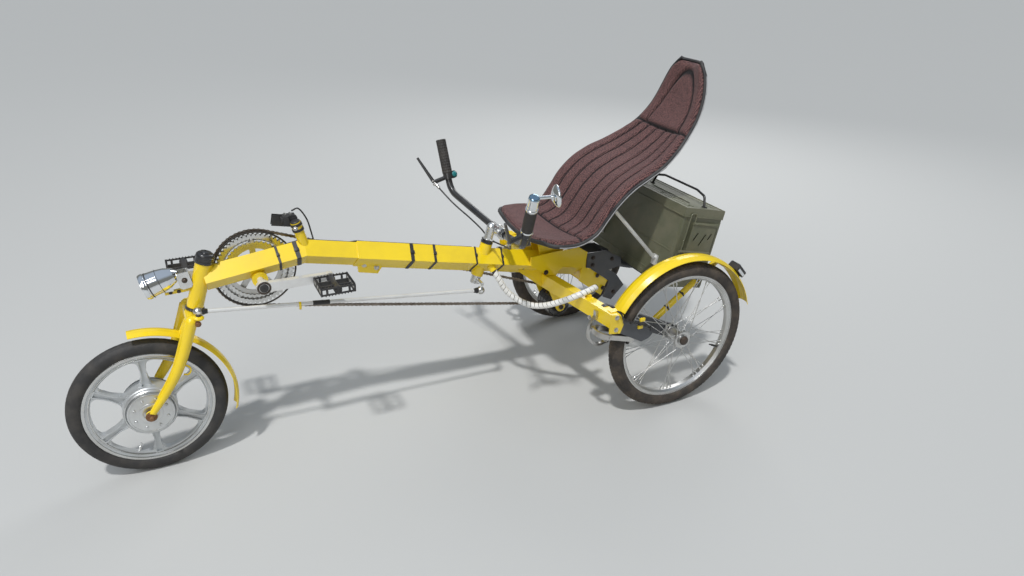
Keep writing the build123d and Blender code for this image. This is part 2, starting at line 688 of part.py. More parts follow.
def brake_hook(side):
    # The C-shaped lever from the front of the cross tube, under the bow and back to the tyre's inner side
    y = side * HOOK_Y
    front = CROSS_MID[0] + CROSS_D / 2 - 53 * HOOK_Y / CROSS_HALF + SEATING_GAP
    line = Spline((front + 4, y, 361), (303, y, 326), (304, y, 290), (278, y, 261), (240, y, 266))
    start = Plane(origin=line @ 0, x_dir=(0, 1, 0), z_dir=line % 0)
    hook = sweep(start * Rectangle(10, 7), line)
    hook += Pos(front + 4.4, y, 366) * Box(8, 14, 22) - cross_body(SEATING_GAP)
    hook += disc((240, 266), 8, y - 6, y + 6)
    return hook + Pos(291, side * (HOOK_Y + 3), 320) * Box(30, 10, 12)


# Cranks: spindle, arms and rings turn together
def ring_radius(teeth):
    return CHAIN_PITCH / 2 / sin(pi / teeth)


def sprocket(centre, teeth, tip, low_y, high_y):
    # A toothed disc whose tips lie tip outside the pitch circle
    pitch_r = ring_radius(teeth)
    outline = []
    for i in range(teeth):
        for share, r in ((0.18, tip - 6.8), (0.36, tip), (0.64, tip), (0.82, tip - 6.8)):
            angle = 2 * pi * (i + share) / teeth
            outline.append((centre[0] + (pitch_r + r) * cos(angle), centre[1] + (pitch_r + r) * sin(angle)))
    return plate(outline, low_y, high_y)


def crank_arms():
    body = disc(BB, SPINDLE_R, -CRANK_Y - 6, CRANK_Y + 6)
    for side in (-1, 1):
        low, high = sorted((side * (CRANK_Y - 8), side * (CRANK_Y + 8)))
        tip = (BB[0] - side * CRANK_L, BB[1])
        body += strap(BB, tip, 14, 10.5, low, high) + disc(BB, 19, low, high) + disc(tip, 13, low, high)
        low, high = sorted((side * (CRANK_Y + 6), side * (CRANK_Y + PEDAL_SPAN)))
        body += disc(tip, PEDAL_SPINDLE_R, low, high)
    return body


def chainrings():
    y = CHAIN_Y
    body = sprocket(BB, RING_TEETH, 3.0, y - RING_T / 2, y + RING_T / 2)
    body -= disc(BB, 84, y - RING_T, y + RING_T)
    body += ring(BB, 62, 82, y + 5, y + 8)
    for i in range(5):
        angle = 90 + i * 72
        arm = Pos(44, y - 4, 0) * Box(88, 5, 16)
        body += Pos(BB[0], 0, BB[1]) * Rot(0, -angle, 0) * arm
        pin = Pos(84, y, 0) * Rot(90, 0, 0) * Cylinder(6, 16)
        body += Pos(BB[0], 0, BB[1]) * Rot(0, -angle, 0) * pin
    body += disc(BB, 24, y - 12, y + 4)
    return body - disc(BB, 9, y - 20, y + 20)


def pedal(side):
    x = BB[0] - side * CRANK_L
    near, far = CRANK_Y + 8 + SEATING_GAP, CRANK_Y + 8 + PEDAL_SPAN
    cage = Box(PEDAL_L, PEDAL_SPAN - 6, PEDAL_T) - Box(PEDAL_L - 14, PEDAL_SPAN - 20, PEDAL_T + 2)
    body = Pos(x, side * (near + far + 6) / 2, BB[1]) * cage
    low, high = sorted((side * near, side * (far - 4)))
    body += disc((x, BB[1]), 11, low, high)
    low, high = sorted((side * (near - 2), side * (CRANK_Y + PEDAL_SPAN + 1)))
    return body - disc((x, BB[1]), PEDAL_SPINDLE_R + RUNNING_CLEARANCE, low, high)


def loop_face(big_c, big_r, small_c, small_r):
    # The outline of a belt round two circles (x, z)
    a, b = Vector(*big_c), Vector(*small_c)
    span = (b - a).length
    turn = degrees(atan2((b - a).Y, (b - a).X))
    lean = degrees(atan2(big_r - small_r, sqrt(span ** 2 - (big_r - small_r) ** 2)))
    up = radians(90 - lean)
    corners = [(big_r * cos(up), big_r * sin(up)), (span + small_r * cos(up), small_r * sin(up)),
               (span + small_r * cos(up), -small_r * sin(up)), (big_r * cos(up), -big_r * sin(up))]
    face = make_face(Polyline(*corners, close=True)) + Circle(big_r) + Pos(span, 0) * Circle(small_r)
    return Plane.XZ * Pos(a.X, a.Y) * Rot(0, 0, turn) * face


def chain():
    inner_big = ring_radius(RING_TEETH) + 3.6
    inner_small = ring_radius(MID_SPROCKET_TEETH) + 0.5
    outer = loop_face(BB, inner_big + CHAIN_H, MID_HUB, inner_small + CHAIN_H)
    inner = loop_face(BB, inner_big, MID_HUB, inner_small)
    band = extrude(outer, CHAIN_W) - Pos(0, 1, 0) * extrude(inner, CHAIN_W + 2)
    return Pos(0, CHAIN_Y + CHAIN_W / 2, 0) * band


def mid_hub():
    body = disc(MID_HUB, MID_HUB_R, -34, MID_HUB_HALF)
    body += sprocket(MID_HUB, MID_SPROCKET_TEETH, 0, CHAIN_Y - 1.5, CHAIN_Y + 1.5)
    body += disc(MID_HUB, 12, -57, -30)
    return body + disc(MID_HUB, MID_HUB_AXLE_R, -66, 56)


def derailleur():
    y = CHAIN_Y
    body = Pos(1098, -22, 678) * Box(34, 30, 26)
    body += Pos(1112, y - 6, 668) * Rot(0, -12, 0) * Box(58, 2, 30)
    body += Pos(1112, y + 8, 668) * Rot(0, -12, 0) * Box(58, 2, 30)
    body += Pos(1104, y + 6, 676) * Box(12, 26, 8)
    return body - rod((1066, 0, 600), (1092, 0, 699), 14 + SEATING_GAP)


def loom():
    return cord(LOOM, LOOM_R)


# Headlamp: a turned bullet with its lens
LAMP_NOSE = at(HEAD_FOOT[0] + 117, 0, 553)
LAMP_TAIL = at(HEAD_FOOT[0] + 27, 0, 580)


def lamp_profile():
    return [(0, 0), (9, 1), (20, 12), (28, 30), (32, 52), (34, 78), (34, 92), (31, 92), (31, 84), (0, 84)]


def headlamp():
    face = make_face(Polyline(*lamp_profile(), close=True))
    solid = revolve(face, Axis.Y, 360)
    plane = Plane(origin=LAMP_TAIL, x_dir=(0, 1, 0), z_dir=LAMP_NOSE - LAMP_TAIL)
    body = plane.location * Rot(90, 0, 0) * solid
    foot = Pos(HEAD_FOOT[0] + 55, 0, 534 + SEATING_GAP + 8) * Box(20, 16, 16)
    return body + foot


def headlamp_lens():
    place = Plane(origin=LAMP_TAIL, x_dir=(0, 1, 0), z_dir=LAMP_NOSE - LAMP_TAIL).location
    return place * Pos(0, 0, 84 + SEATING_GAP) * extrude(Circle(31 - SEATING_GAP), 5)


# Handlebar: shaft through the beam, stem, bar, grips and levers
def bar_path():
    low_y, top = 265.0, (529.0, 769.0)
    right = [(top[0], -BAR_HALF, top[1]), (521, -low_y, 612), (BAR_MID[0], -32, BAR_MID[1])]
    left = [(x, -y, z) for x, y, z in reversed(right)]
    return FilletPolyline(*right, *left, radius=[60, 60, 60, 60])


def handlebar():
    # Both ends are hollow, for a plug
    path = bar_path()
    start = Plane(origin=path @ 0, z_dir=path % 0)
    bar = sweep(start * Circle(BAR_R), path)
    for end, inward in ((path @ 0, path % 0), (path @ 1, path % 1 * -1)):
        bar -= rod(end - inward, end + inward * BAR_END_DEPTH, BAR_END_R)
    return bar


def cable_stop(which, side):
    # The sleeve that a brake cable ends in: 0 at the lever, -1 at the shaft
    end, inner = (BAR_CABLE[0], BAR_CABLE[1]) if which == 0 else (BAR_CABLE[-1], BAR_CABLE[-2])
    end, inner = at(end[0], side * end[1], end[2]), at(inner[0], side * inner[1], inner[2])
    return rod(end, end + (end - inner).normalized() * CABLE_STOP_L, CABLE_STOP_R)


def bar_cable(side):
    return cord([(x, side * y, z) for x, y, z in BAR_CABLE], BAR_CABLE_R)


def stem():
    ball = on_axis(BAR_AXIS_E, REAR_BALL_Z, ARM_REACH)
    foot = on_axis(BAR_AXIS_E, REAR_BALL_Z)
    boss_top = (PIVOT_LOW - REAR_BALL_Z) / AXIS.Z - 1.2
    knee = on_axis(BAR_AXIS_E, 572)
    body = rod(foot + AXIS * 5, knee, SHAFT_R)
    body += collar(on_axis(BAR_AXIS_E, PIVOT_HIGH), 1.2, 14, 17)
    body += collar(on_axis(BAR_AXIS_E, PIVOT_HIGH), 14, 52, 14) + Pos(*knee) * Sphere(15)
    body += rod(knee, (BAR_MID[0], 0, BAR_MID[1]), 13)
    body += Pos(BAR_MID[0], 0, BAR_MID[1]) * Rot(90, 0, 0) * Cylinder(18, 40)
    body += collar(foot, 5, boss_top, 15)
    body += rod(foot + AXIS * 20, ball + AXIS * 20, 6)
    body += rod(ball + AXIS * 20, ball + AXIS * 4, 4)
    body += Pos(*ball) * Sphere(BALL_R) + cable_stop(-1, 1) + cable_stop(-1, -1)
    return body - rod((BAR_MID[0], -21, BAR_MID[1]), (BAR_MID[0], 21, BAR_MID[1]), BAR_R)


def grip(side):
    path = bar_path()
    t = (path @ 0) if side < 0 else (path @ 1)
    d = (path % 0) if side < 0 else (path % 1) * -1
    end = t + d * GRIP_L
    start = t + d * MIRROR_MOUNT_L if side > 0 else t
    return rod(start, end, GRIP_R) - rod(t - d, end + d, BAR_R)


def brake_lever(side):
    path = bar_path()
    end = (path @ 0) if side < 0 else (path @ 1)
    down = (path % 0) if side < 0 else (path % 1) * -1
    base = end + down * LEVER_FROM_END
    middle = base + down * 9
    body = rod(base, base + down * 18, 16) + rod(middle, (574, side * 284, 642), 7)
    body -= rod(base - down * 5, base + down * 30, BAR_R + SEATING_GAP)
    return body + rod((574, side * 284, 642), (612, side * 332, 716), 6, 4) + cable_stop(0, side)


def bar_mirror():
    path = bar_path()
    top, down = path @ 1, (path % 1) * -1
    mount = rod(top - down * 8, top + down * (MIRROR_MOUNT_L - SEATING_GAP), GRIP_R - 1)
    mount -= rod(top, top + down * MIRROR_MOUNT_L, BAR_R)
    hub = at(470, 346, 778)
    body = Plane(origin=hub, z_dir=(-1, 0.25, 0.1)).location * extrude(Circle(30), 4)
    dome_place = Plane(origin=hub, z_dir=(1, -0.25, -0.1)).location
    dome = dome_place * Cone(30, 12, 12, align=(Align.CENTER, Align.CENTER, Align.MIN))
    return mount + body + dome + rod(top - down * 8, (478, 344, 777), 5)


def drag_link():
    front = on_axis(HEAD_E, FRONT_BALL_Z, ARM_REACH)
    rear = on_axis(BAR_AXIS_E, REAR_BALL_Z, ARM_REACH)
    along = (front - rear).normalized()
    body = rod(rear + along * 8, front - along * 8, LINK_R)
    for ball in (front, rear):
        body += Pos(*ball) * Sphere(11)
    for ball in (front, rear):
        body -= Pos(*ball) * Sphere(BALL_R + RUNNING_CLEARANCE)
    body -= rod(front, front + AXIS * -20, 5.5)
    body -= rod(rear, rear + AXIS * 20, 5.5)
    return body


# Seat: the edge line of the shell from the front of the pan to the top of the head rest
SEAT_EDGE = [
    # x, z, half width
    (398, 560, 150),
    (376, 556, 184),
    (330, 552, 197),
    (277, 552, 190),
    (223, 572, 182),
    (187, 616, 182),
    (155, 658, 186),
    (107, 700, 188),
    (52, 729, 187),
    (-12, 756, 175),
    (-70, 790, 156),
    (-114, 824, 139),
    (-152, 868, 127),
    (-175, 910, 118),
    (-190, 955, 107),
    (-201, 1004, 86),
    (-208, 1040, 52),
]


def seat_layer(low, high, inset, skip_front=0, skip_back=0, dish=SEAT_DISH):
    last = len(SEAT_EDGE) - 1
    sections = []
    for i, (x, z, half) in enumerate(SEAT_EDGE):
        if i < skip_front or i > last - skip_back:
            continue
        before, after = SEAT_EDGE[max(i - 1, 0)], SEAT_EDGE[min(i + 1, last)]
        along = Vector(after[0] - before[0], 0, after[1] - before[1])
        place = Plane(origin=(x, 0, z), x_dir=(0, -1, 0), z_dir=along)
        w = half - inset
        a, b, c = (-w, low), (0, low - dish), (w, low)
        d, e, f = (w, high), (0, high - dish), (-w, high)
        outline = Curve() + [ThreePointArc(a, b, c), Line(c, d), ThreePointArc(d, e, f), Line(f, a)]
        sections.append(place.location * make_face(outline))
    return loft(sections, ruled=True)


def seat_shell():
    return seat_layer(-SHELL_T, 0, 0)


def seat_pad():
    return seat_layer(SEATING_GAP, PAD_T, PAD_INSET, 1, 2)


def seat_bracket():
    # Between the beam's upper edge and the underside of the pan
    sides = [(352, 532), (240, 532), (262, 424), (330, 438)]
    body = plate(sides, -30, -25) + plate(sides, 25, 30)
    body += plate([(352, 532), (240, 532), (240, 510), (352, 510)], -30, 30)
    body -= beam_envelope() + seat_layer(-SHELL_T - SEATING_GAP, 40, 0)
    return body


def seat_stay(side):
    # From the back of the shell to the front of the box
    y = side * (BOX_W / 2 - 72.5)
    body = rod((166, y, 648), (-18, y, 446), 6)
    foot = BOX_PLACE * Pos(3 + SEATING_GAP, y, 66) * Box(6, 24, 34)
    body += foot
    return body - seat_layer(-SHELL_T - SEATING_GAP, 40, -3)


# Box: a steel ammunition-type box, leaning back with the seat
BOX_PLACE = Location((BOX_FOOT[0], 0, BOX_FOOT[1]), (0, -BOX_LEAN, 0))


def box_body():
    height = BOX_H - BOX_WALL - SEATING_GAP
    outer = Pos(-BOX_D / 2, 0, height / 2) * Box(BOX_D, BOX_W, height)
    hollow_d, hollow_w = BOX_D - 2 * BOX_WALL, BOX_W - 2 * BOX_WALL
    inner = Pos(-BOX_D / 2, 0, height / 2 + BOX_WALL) * Box(hollow_d, hollow_w, height)
    body = outer - inner
    y, z = HINGE_AT
    reach = -y - BOX_W / 2
    for low, high in ((-112, -91), (-66, -45)):
        body += rod((low, y, z), (high, y, z), HINGE_R)
        body += Pos((low + high) / 2, y + reach / 2 + 0.5, z - 2) * Box(high - low, reach + 1, 5)
    body += rod((-112, y, z), (-45, y, z), HINGE_PIN_R)
    # The two saddles that the latch's hinge rod lies in
    lug_y = LATCH_OFF - LATCH_ROD_R - SEATING_GAP
    latch_low = LATCH_PLATE[1] - LATCH_PLATE[3] / 2
    for x in (-125, -40):
        body += Pos(x, BOX_W / 2 + lug_y / 2 - 0.5, latch_low) * Box(18, lug_y + 1, 18)
    return BOX_PLACE * body


def box_lid():
    gap = 1.0
    low, high = BOX_H - LID_H, BOX_H
    side = gap + BOX_WALL
    middle = (low + high) / 2
    outer = Pos(-BOX_D / 2, 0, middle) * Box(BOX_D + 2 * side, BOX_W + 2 * side, high - low)
    inner = Pos(-BOX_D / 2, 0, middle - BOX_WALL) * Box(BOX_D + 2 * gap, BOX_W + 2 * gap, high - low)
    y, z = HINGE_AT
    body = outer - inner + rod((-90, y, z), (-67, y, z), HINGE_R)
    body += Pos(-78.5, y + 3.5, z + 5.5) * Box(23, 7, 5)
    return BOX_PLACE * (body - rod((-91, y, z), (-66, y, z), HINGE_PIN_R + RUNNING_CLEARANCE))


def lid_handle():
    # The bail handle on two round feet
    base = BOX_H + SEATING_GAP
    top = base + 43
    corners = [(205, base), (192, top - 10), (150, top), (-20, top), (-62, top - 10), (-75, base)]
    path = FilletPolyline(*[(BAIL_X, y, z) for y, z in corners], radius=[15, 30, 30, 15])
    body = sweep(Plane(origin=path @ 0, z_dir=path % 0) * Circle(BAIL_R), path)
    for y, z in (corners[0], corners[-1]):
        body += Pos(BAIL_X, y, z + 1.5) * Cylinder(9, 3)
    below = Pos(BAIL_X, 65, base - 25) * Box(60, 400, 50)
    return BOX_PLACE * (body - below)


def box_latch():
    # The slotted lever on the left end, with its hinge rod, rolled top and wire loop
    x, z, wide, tall = LATCH_PLATE
    y = BOX_W / 2 + LATCH_OFF
    low, high = z - tall / 2, z + tall / 2
    body = Pos(x, y, z) * Box(wide, 2.5, tall)
    for slot_x, slot_z, length in LATCH_SLOTS:
        place = Pos(slot_x, y, slot_z) * Rot(90, 0, 0) * Rot(0, 0, 114)
        body -= place * extrude(SlotOverall(length, 7), 4, both=True)
    body += rod((x - wide / 2, y, low), (x + wide / 2 + 25, y, low), LATCH_ROD_R)
    body += rod((x - wide / 2, y, high), (x + wide / 2, y, high), LATCH_ROD_R)
    near, far = x + wide / 2 - 4, x + wide / 2 + 18
    turns = [(near, y, high - 22), (near, y, high + 32), (far, y, high + 32), (far, y, low)]
    loop = FilletPolyline(*turns, radius=8)
    return BOX_PLACE * (body + sweep(Plane(origin=loop @ 0, z_dir=loop % 0) * Circle(2), loop))


def tail_cut(solid):
    # Leaves a seating gap behind the beam's tail
    tail, bend = at(BEAM_TAIL[0], 0, BEAM_TAIL[1]), at(BEND[0], 0, BEND[1])
    back = (tail - bend).normalized()
    cut = frame_along(tail + back * SEATING_GAP, bend)
    return solid - extrude(cut.location * Rectangle(200, 200), 200)


def tail_bracket():
    # The yellow box behind the beam: two cheeks and the core between them
    shade = [(171, 425), (150, 400), (72, 327), (96, 276), (186, 346)]
    outer = SLEEVE_SIDE * sqrt(2) / 2 - 2.5 - SEATING_GAP
    inner = outer - 5
    cheeks = plate(shade, -outer, -inner) + plate(shade, inner, outer)
    core = plate([(171, 430), (140, 420), (140, 345), (176, 345)], -inner - 1, inner + 1)
    spacer = disc((92, 305), 9, -inner - 1, inner + 1)
    return tail_cut(cheeks + core + spacer) - cross_body(SEATING_GAP)


def carrier():
    # Dark side plates from the beam's cheeks down and back, with the tray under the box
    thick = 4.0
    tray = BOX_PLACE * Pos(-BOX_D / 2, 0, -thick / 2 - SEATING_GAP) * Box(BOX_D, 300, thick)
    upper = [(163, 444), (88, 441), (29, 407), (24, 378), (70, 369), (163, 392)]
    lower = [(163, 400), (74, 370), (41, 347), (7, 301), (55, 253), (88, 270), (70, 327), (140, 380)]
    low, high = CHEEK_Y, CHEEK_Y + 5
    body = plate(upper, low, high) + plate(lower, low, high)
    body += plate(upper, -high, -low) + plate(lower, -high, -low)
    for at_xz in ((64, 408), (48, 282)):
        body += disc(at_xz, 8, -low - 1, low + 1)
    shelf = plate([(70, 395), (-6, 371), (-84, 354), (-84, 346), (-6, 362), (70, 386)], -high, high)
    return tail_cut(tray + body + shelf)


NODES = {
    "front_boom": front_boom,
    "main_beam": main_beam,
    "headset": headset,
    "fork": fork,
    "headset_cap": headset_cap,
    "front_axle": front_axle,
    "front_mudguard": front_mudguard,
    "front_wheel_casting": front_casting,
    "motor_covers": motor_covers,
    "front_tyre": front_tyre,
    "cross_tube": cross_tube,
    "crank_arms": crank_arms,
    "chainrings": chainrings,
    "chain": chain,
    "mid_hub": mid_hub,
    "derailleur": derailleur,
    "loom": loom,
    "headlamp": headlamp,
    "headlamp_lens": headlamp_lens,
    "handlebar": handlebar,
    "stem": stem,
    "mirror": bar_mirror,
    "drag_link": drag_link,
    "seat_shell": seat_shell,
    "seat_pad": seat_pad,
    "seat_bracket": seat_bracket,
    "box_body": box_body,
    "box_lid": box_lid,
    "lid_handle": lid_handle,
    "box_latch": box_latch,
    "tail_bracket": tail_bracket,
    "carrier": carrier,
}

PAIRS = {
    "rear_rim": rear_rim,
    "rear_hub": rear_hub,
    "rear_tyre": rear_tyre,
    "rear_arm": rear_arm,
    "brake_plate": brake_plate,
    "rear_mudguard": rear_mudguard,
    "guard_stay": guard_stay,
    "tail_lamp": tail_lamp,
    "brake_caliper": brake_caliper,
    "pedal": pedal,
    "grip": grip,
    "brake_lever": brake_lever,
    "bar_cable": bar_cable,
    "seat_stay": seat_stay,
}

for name, build in NODES.items():
    made = build()
    save(name, *(made if isinstance(made, (tuple, list)) and not hasattr(made, "wrapped") else [made]))

for name, build in PAIRS.items():
    save(f"{name}_left", build(1))
    save(f"{name}_right", build(-1))
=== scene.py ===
# Looks for the recumbent tricycle: materials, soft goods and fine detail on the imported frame
import math

import bmesh
import bpy
from mathutils import Matrix, Vector, noise


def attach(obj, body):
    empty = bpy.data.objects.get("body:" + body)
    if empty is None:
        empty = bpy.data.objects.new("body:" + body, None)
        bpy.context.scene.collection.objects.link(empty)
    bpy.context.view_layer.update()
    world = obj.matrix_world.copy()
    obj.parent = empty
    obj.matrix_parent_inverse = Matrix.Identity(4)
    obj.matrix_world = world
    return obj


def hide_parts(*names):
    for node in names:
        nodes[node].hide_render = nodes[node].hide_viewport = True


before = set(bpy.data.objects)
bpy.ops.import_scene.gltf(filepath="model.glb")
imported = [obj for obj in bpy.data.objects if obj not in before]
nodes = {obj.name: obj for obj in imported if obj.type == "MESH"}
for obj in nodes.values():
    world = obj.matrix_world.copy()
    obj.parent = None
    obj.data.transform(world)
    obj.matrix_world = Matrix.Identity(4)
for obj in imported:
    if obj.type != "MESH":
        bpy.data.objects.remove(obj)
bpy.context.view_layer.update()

# Places are in millimetres ahead of the rear axle, as in the part's source
ORIGIN_X = 731.72
HALF_TRACK = 338.0
WHEELBASE = 1527.0
FRONT_AXLE_Z = 204.0
REAR_AXLE_Z = 250.0
BEAM_BEND = (1070.0, 587.0)
BEAM_TAIL = (180.0, 394.0)
BOOM_HEAD = (1337.0, 553.0)
SEAM_X = 928.0
BOOM_SIDE = 50.0
SLEEVE_SIDE = 55.6
CRANK_AXLE = (1200.0, 538.0)
CRANK_L = 175.0
MID_HUB = (262.0, 272.0)
CHAIN_Y = -50.0
CHAIN_PITCH = 12.7
BOX_FOOT = (-11.0, 373.0)
BOX_LEAN = math.radians(12.5)
BOX_W, BOX_D, BOX_H, LID_H = 465.0, 157.0, 267.0, 28.0
HEAD_TILT = math.radians(18.0)
STEER_AXIS = Vector((-math.sin(HEAD_TILT), 0, math.cos(HEAD_TILT)))
SIDES = (("left", 1), ("right", -1))
RING_TEETH = 52
SMALL_RING_TEETH = 42
COG_TEETH = 14
# The chain's pins lie this far outside each pitch circle, in the middle of the solid chain
RING_CHAIN_OUT = 7.6
COG_CHAIN_OUT = 4.5
# The tread's highest face lies this far inside the solid tyre
TREAD_SKIN = 0.2
WASHER_T = 1.2
PEDAL_MIDDLE_Y = 141.0
GRIP_TOP = (529, 331, 769)
GRIP_FOOT = (521, 265, 612)
HEAD_FOOT = (1371.0, 478.0)
HEAD_LENGTH = 127
# How far ahead two axes lie, measured square to the head tube: its own and the steering shaft's
HEAD_ACROSS = HEAD_FOOT[0] * math.cos(HEAD_TILT) + HEAD_FOOT[1] * math.sin(HEAD_TILT)
STEM_ACROSS = 648.0
LAMP_NOSE = (1488.0, 553.0)
LAMP_TAIL = (1398.0, 580.0)
# Places and radii down the fork's blade
BLADE_PATH = [(1389, 462, 16.5), (1409, 408, 16), (1444, 325, 14), (1492, 252, 11.5)]
TAIL_LAMP_ANGLE = 138
TAIL_LAMP_R = 287.3
BRAKE_NOODLE = [
    (262, 374, 408), (252, 383, 398), (241, 384, 379), (214, 384, 364), (180, 384, 351), (150, 383, 338),
    (136, 379, 324), (134, 372, 312),
]
CHANGER_CABLE = [(1088, -27, 700), (1070, -20, 706), (1052, -14, 676), (1044, -12, 640), (1040, -10.5, 616)]

# The photograph's camera: its place, its angles in degrees and its focal length in pixels
CAMERA_AT = (1444.9, 2017.4, 1431.4)
CAMERA_YAW = -116.965
CAMERA_PITCH = 25.571
CAMERA_ROLL = -1.4154
FOCAL_PIXELS = 769.05
PHOTO_WIDTH = 1024
SENSOR_WIDTH = 36.0


def at(x, y, z):
    return Vector(((x - ORIGIN_X) / 1000, y / 1000, z / 1000))


def mm(*values):
    return Vector(values) / 1000


def tilted_x(across, z):
    # Where an axis leaning like the head tube passes the height z
    return (across - z * math.sin(HEAD_TILT)) / math.cos(HEAD_TILT)


# Materials
def group(name, inputs, outputs):
    tree = bpy.data.node_groups.new(name, "ShaderNodeTree")
    for label, kind, value in inputs:
        socket = tree.interface.new_socket(label, in_out="INPUT", socket_type=kind)
        socket.default_value = value
    for label, kind in outputs:
        tree.interface.new_socket(label, in_out="OUTPUT", socket_type=kind)
    return tree, tree.nodes.new("NodeGroupInput"), tree.nodes.new("NodeGroupOutput")


def add(tree, kind, links=None, **values):
    # A node, its settings, and links from {input: socket}
    node = tree.nodes.new(kind)
    for key, value in values.items():
        if hasattr(node, key):
            setattr(node, key, value)
        else:
            node.inputs[key.replace("_", " ")].default_value = value
    for key, socket in (links or {}).items():
        tree.links.new(socket, node.inputs[key])
    return node


def make_grime():
    # Uneven dirt over a colour: broad patches broken up by a finer noise
    tree, given, out = group(
        "Grime",
        [("Base", "NodeSocketColor", (1, 1, 1, 1)), ("Dirt", "NodeSocketColor", (0.1, 0.08, 0.05, 1)),
         ("Amount", "NodeSocketFloat", 0.3), ("Scale", "NodeSocketFloat", 12.0)],
        [("Color", "NodeSocketColor"), ("Mask", "NodeSocketFloat")])
    where = add(tree, "ShaderNodeTexCoord")
    broad = add(tree, "ShaderNodeTexNoise", {"Vector": where.outputs["Object"],
                                             "Scale": given.outputs["Scale"]}, Detail=6.0, Roughness=0.62)
    shaped = add(tree, "ShaderNodeMapRange", {"Value": broad.outputs["Fac"]})
    shaped.inputs["From Min"].default_value = 0.42
    shaped.inputs["From Max"].default_value = 0.72
    mask = add(tree, "ShaderNodeMath", {0: shaped.outputs["Result"], 1: given.outputs["Amount"]},
               operation="MULTIPLY")
    mixed = add(tree, "ShaderNodeMix", data_type="RGBA")
    tree.links.new(mask.outputs[0], mixed.inputs[0])
    tree.links.new(given.outputs["Base"], mixed.inputs[6])
    tree.links.new(given.outputs["Dirt"], mixed.inputs[7])
    tree.links.new(mixed.outputs[2], out.inputs["Color"])
    tree.links.new(mask.outputs[0], out.inputs["Mask"])
    return tree


def make_grain():
    # A fine uneven surface as a normal
    tree, given, out = group("Grain", [("Scale", "NodeSocketFloat", 300.0),
                                       ("Depth", "NodeSocketFloat", 0.0002),
                                       ("Strength", "NodeSocketFloat", 0.3)],
                             [("Normal", "NodeSocketVector"), ("Height", "NodeSocketFloat")])
    where = add(tree, "ShaderNodeTexCoord")
    fine = add(tree, "ShaderNodeTexNoise", {"Vector": where.outputs["Object"],
                                            "Scale": given.outputs["Scale"]}, Detail=3.0)
    bump = add(tree, "ShaderNodeBump", {"Height": fine.outputs["Fac"], "Strength": given.outputs["Strength"],
                                        "Distance": given.outputs["Depth"]})
    tree.links.new(bump.outputs["Normal"], out.inputs["Normal"])
    tree.links.new(fine.outputs["Fac"], out.inputs["Height"])
    return tree


GRIME = make_grime()
GRAIN = make_grain()


def material(name, color, rough, metal=0.0, dirt=(0.10, 0.08, 0.05), amount=0.25, dirt_scale=12.0,
             grain=300.0, depth=0.0002, strength=0.25, rough_spread=0.15, **sockets):
    made = bpy.data.materials.new(name)
    made.use_nodes = True
    tree = made.node_tree
    shader = tree.nodes["Principled BSDF"]
    shader.inputs["Metallic"].default_value = metal
    for key, value in sockets.items():
        shader.inputs[key.replace("_", " ")].default_value = value
    grime = add(tree, "ShaderNodeGroup", node_tree=GRIME)
    grime.inputs["Base"].default_value = (*color, 1)
    grime.inputs["Dirt"].default_value = (*dirt, 1)
    grime.inputs["Amount"].default_value = amount
    grime.inputs["Scale"].default_value = dirt_scale
    tree.links.new(grime.outputs["Color"], shader.inputs["Base Color"])
    spread = add(tree, "ShaderNodeMapRange", {"Value": grime.outputs["Mask"]})
    spread.inputs["To Min"].default_value = rough
    spread.inputs["To Max"].default_value = min(rough + rough_spread, 1.0)
    tree.links.new(spread.outputs["Result"], shader.inputs["Roughness"])
    if strength:
        surface = add(tree, "ShaderNodeGroup", node_tree=GRAIN)
        surface.inputs["Scale"].default_value = grain
        surface.inputs["Depth"].default_value = depth
        surface.inputs["Strength"].default_value = strength
        tree.links.new(surface.outputs["Normal"], shader.inputs["Normal"])
    return made


PAINT = material("yellow_enamel", (0.92, 0.66, 0.012), 0.24, dirt=(0.42, 0.27, 0.03), amount=0.22,
                 dirt_scale=9.0, grain=90.0, depth=0.0003, strength=0.12, Coat_Weight=0.6,
                 Coat_Roughness=0.12)
BLACK_PAINT = material("black_enamel", (0.018, 0.018, 0.02), 0.26, dirt=(0.10, 0.09, 0.075), amount=0.3,
                       Coat_Weight=0.3)
BLACK_PLASTIC = material("black_plastic", (0.028, 0.028, 0.03), 0.48, dirt=(0.12, 0.10, 0.08), amount=0.3,
                         grain=900.0)
RUBBER = material("grip_rubber", (0.03, 0.028, 0.027), 0.62, dirt=(0.10, 0.085, 0.07), amount=0.4,
                  grain=1400.0, strength=0.5)
TYRE = material("tyre_rubber", (0.040, 0.034, 0.030), 0.78, dirt=(0.17, 0.13, 0.095), amount=0.55,
                dirt_scale=22.0, grain=700.0, strength=0.5)
FRONT_TYRE = material("front_tyre_rubber", (0.030, 0.029, 0.029), 0.66, dirt=(0.12, 0.105, 0.09), amount=0.45,
                      dirt_scale=18.0, grain=700.0, strength=0.4)
CAST = material("cast_wheel_paint", (0.60, 0.62, 0.63), 0.34, metal=0.55, dirt=(0.30, 0.28, 0.25), amount=0.4,
                grain=500.0, strength=0.3)
ALLOY = material("polished_alloy", (0.72, 0.72, 0.71), 0.2, metal=1.0, dirt=(0.32, 0.29, 0.25), amount=0.35,
                 grain=600.0, strength=0.15)
SATIN_ALLOY = material("satin_alloy", (0.66, 0.66, 0.65), 0.36, metal=1.0, dirt=(0.34, 0.30, 0.25),
                       amount=0.4, grain=500.0, strength=0.25)
STEEL = material("plated_steel", (0.60, 0.59, 0.57), 0.3, metal=1.0, dirt=(0.28, 0.22, 0.16), amount=0.35,
                 grain=700.0)
WHITE_ROD = material("pale_rod", (0.80, 0.80, 0.79), 0.3, metal=0.35, dirt=(0.45, 0.42, 0.36), amount=0.3)
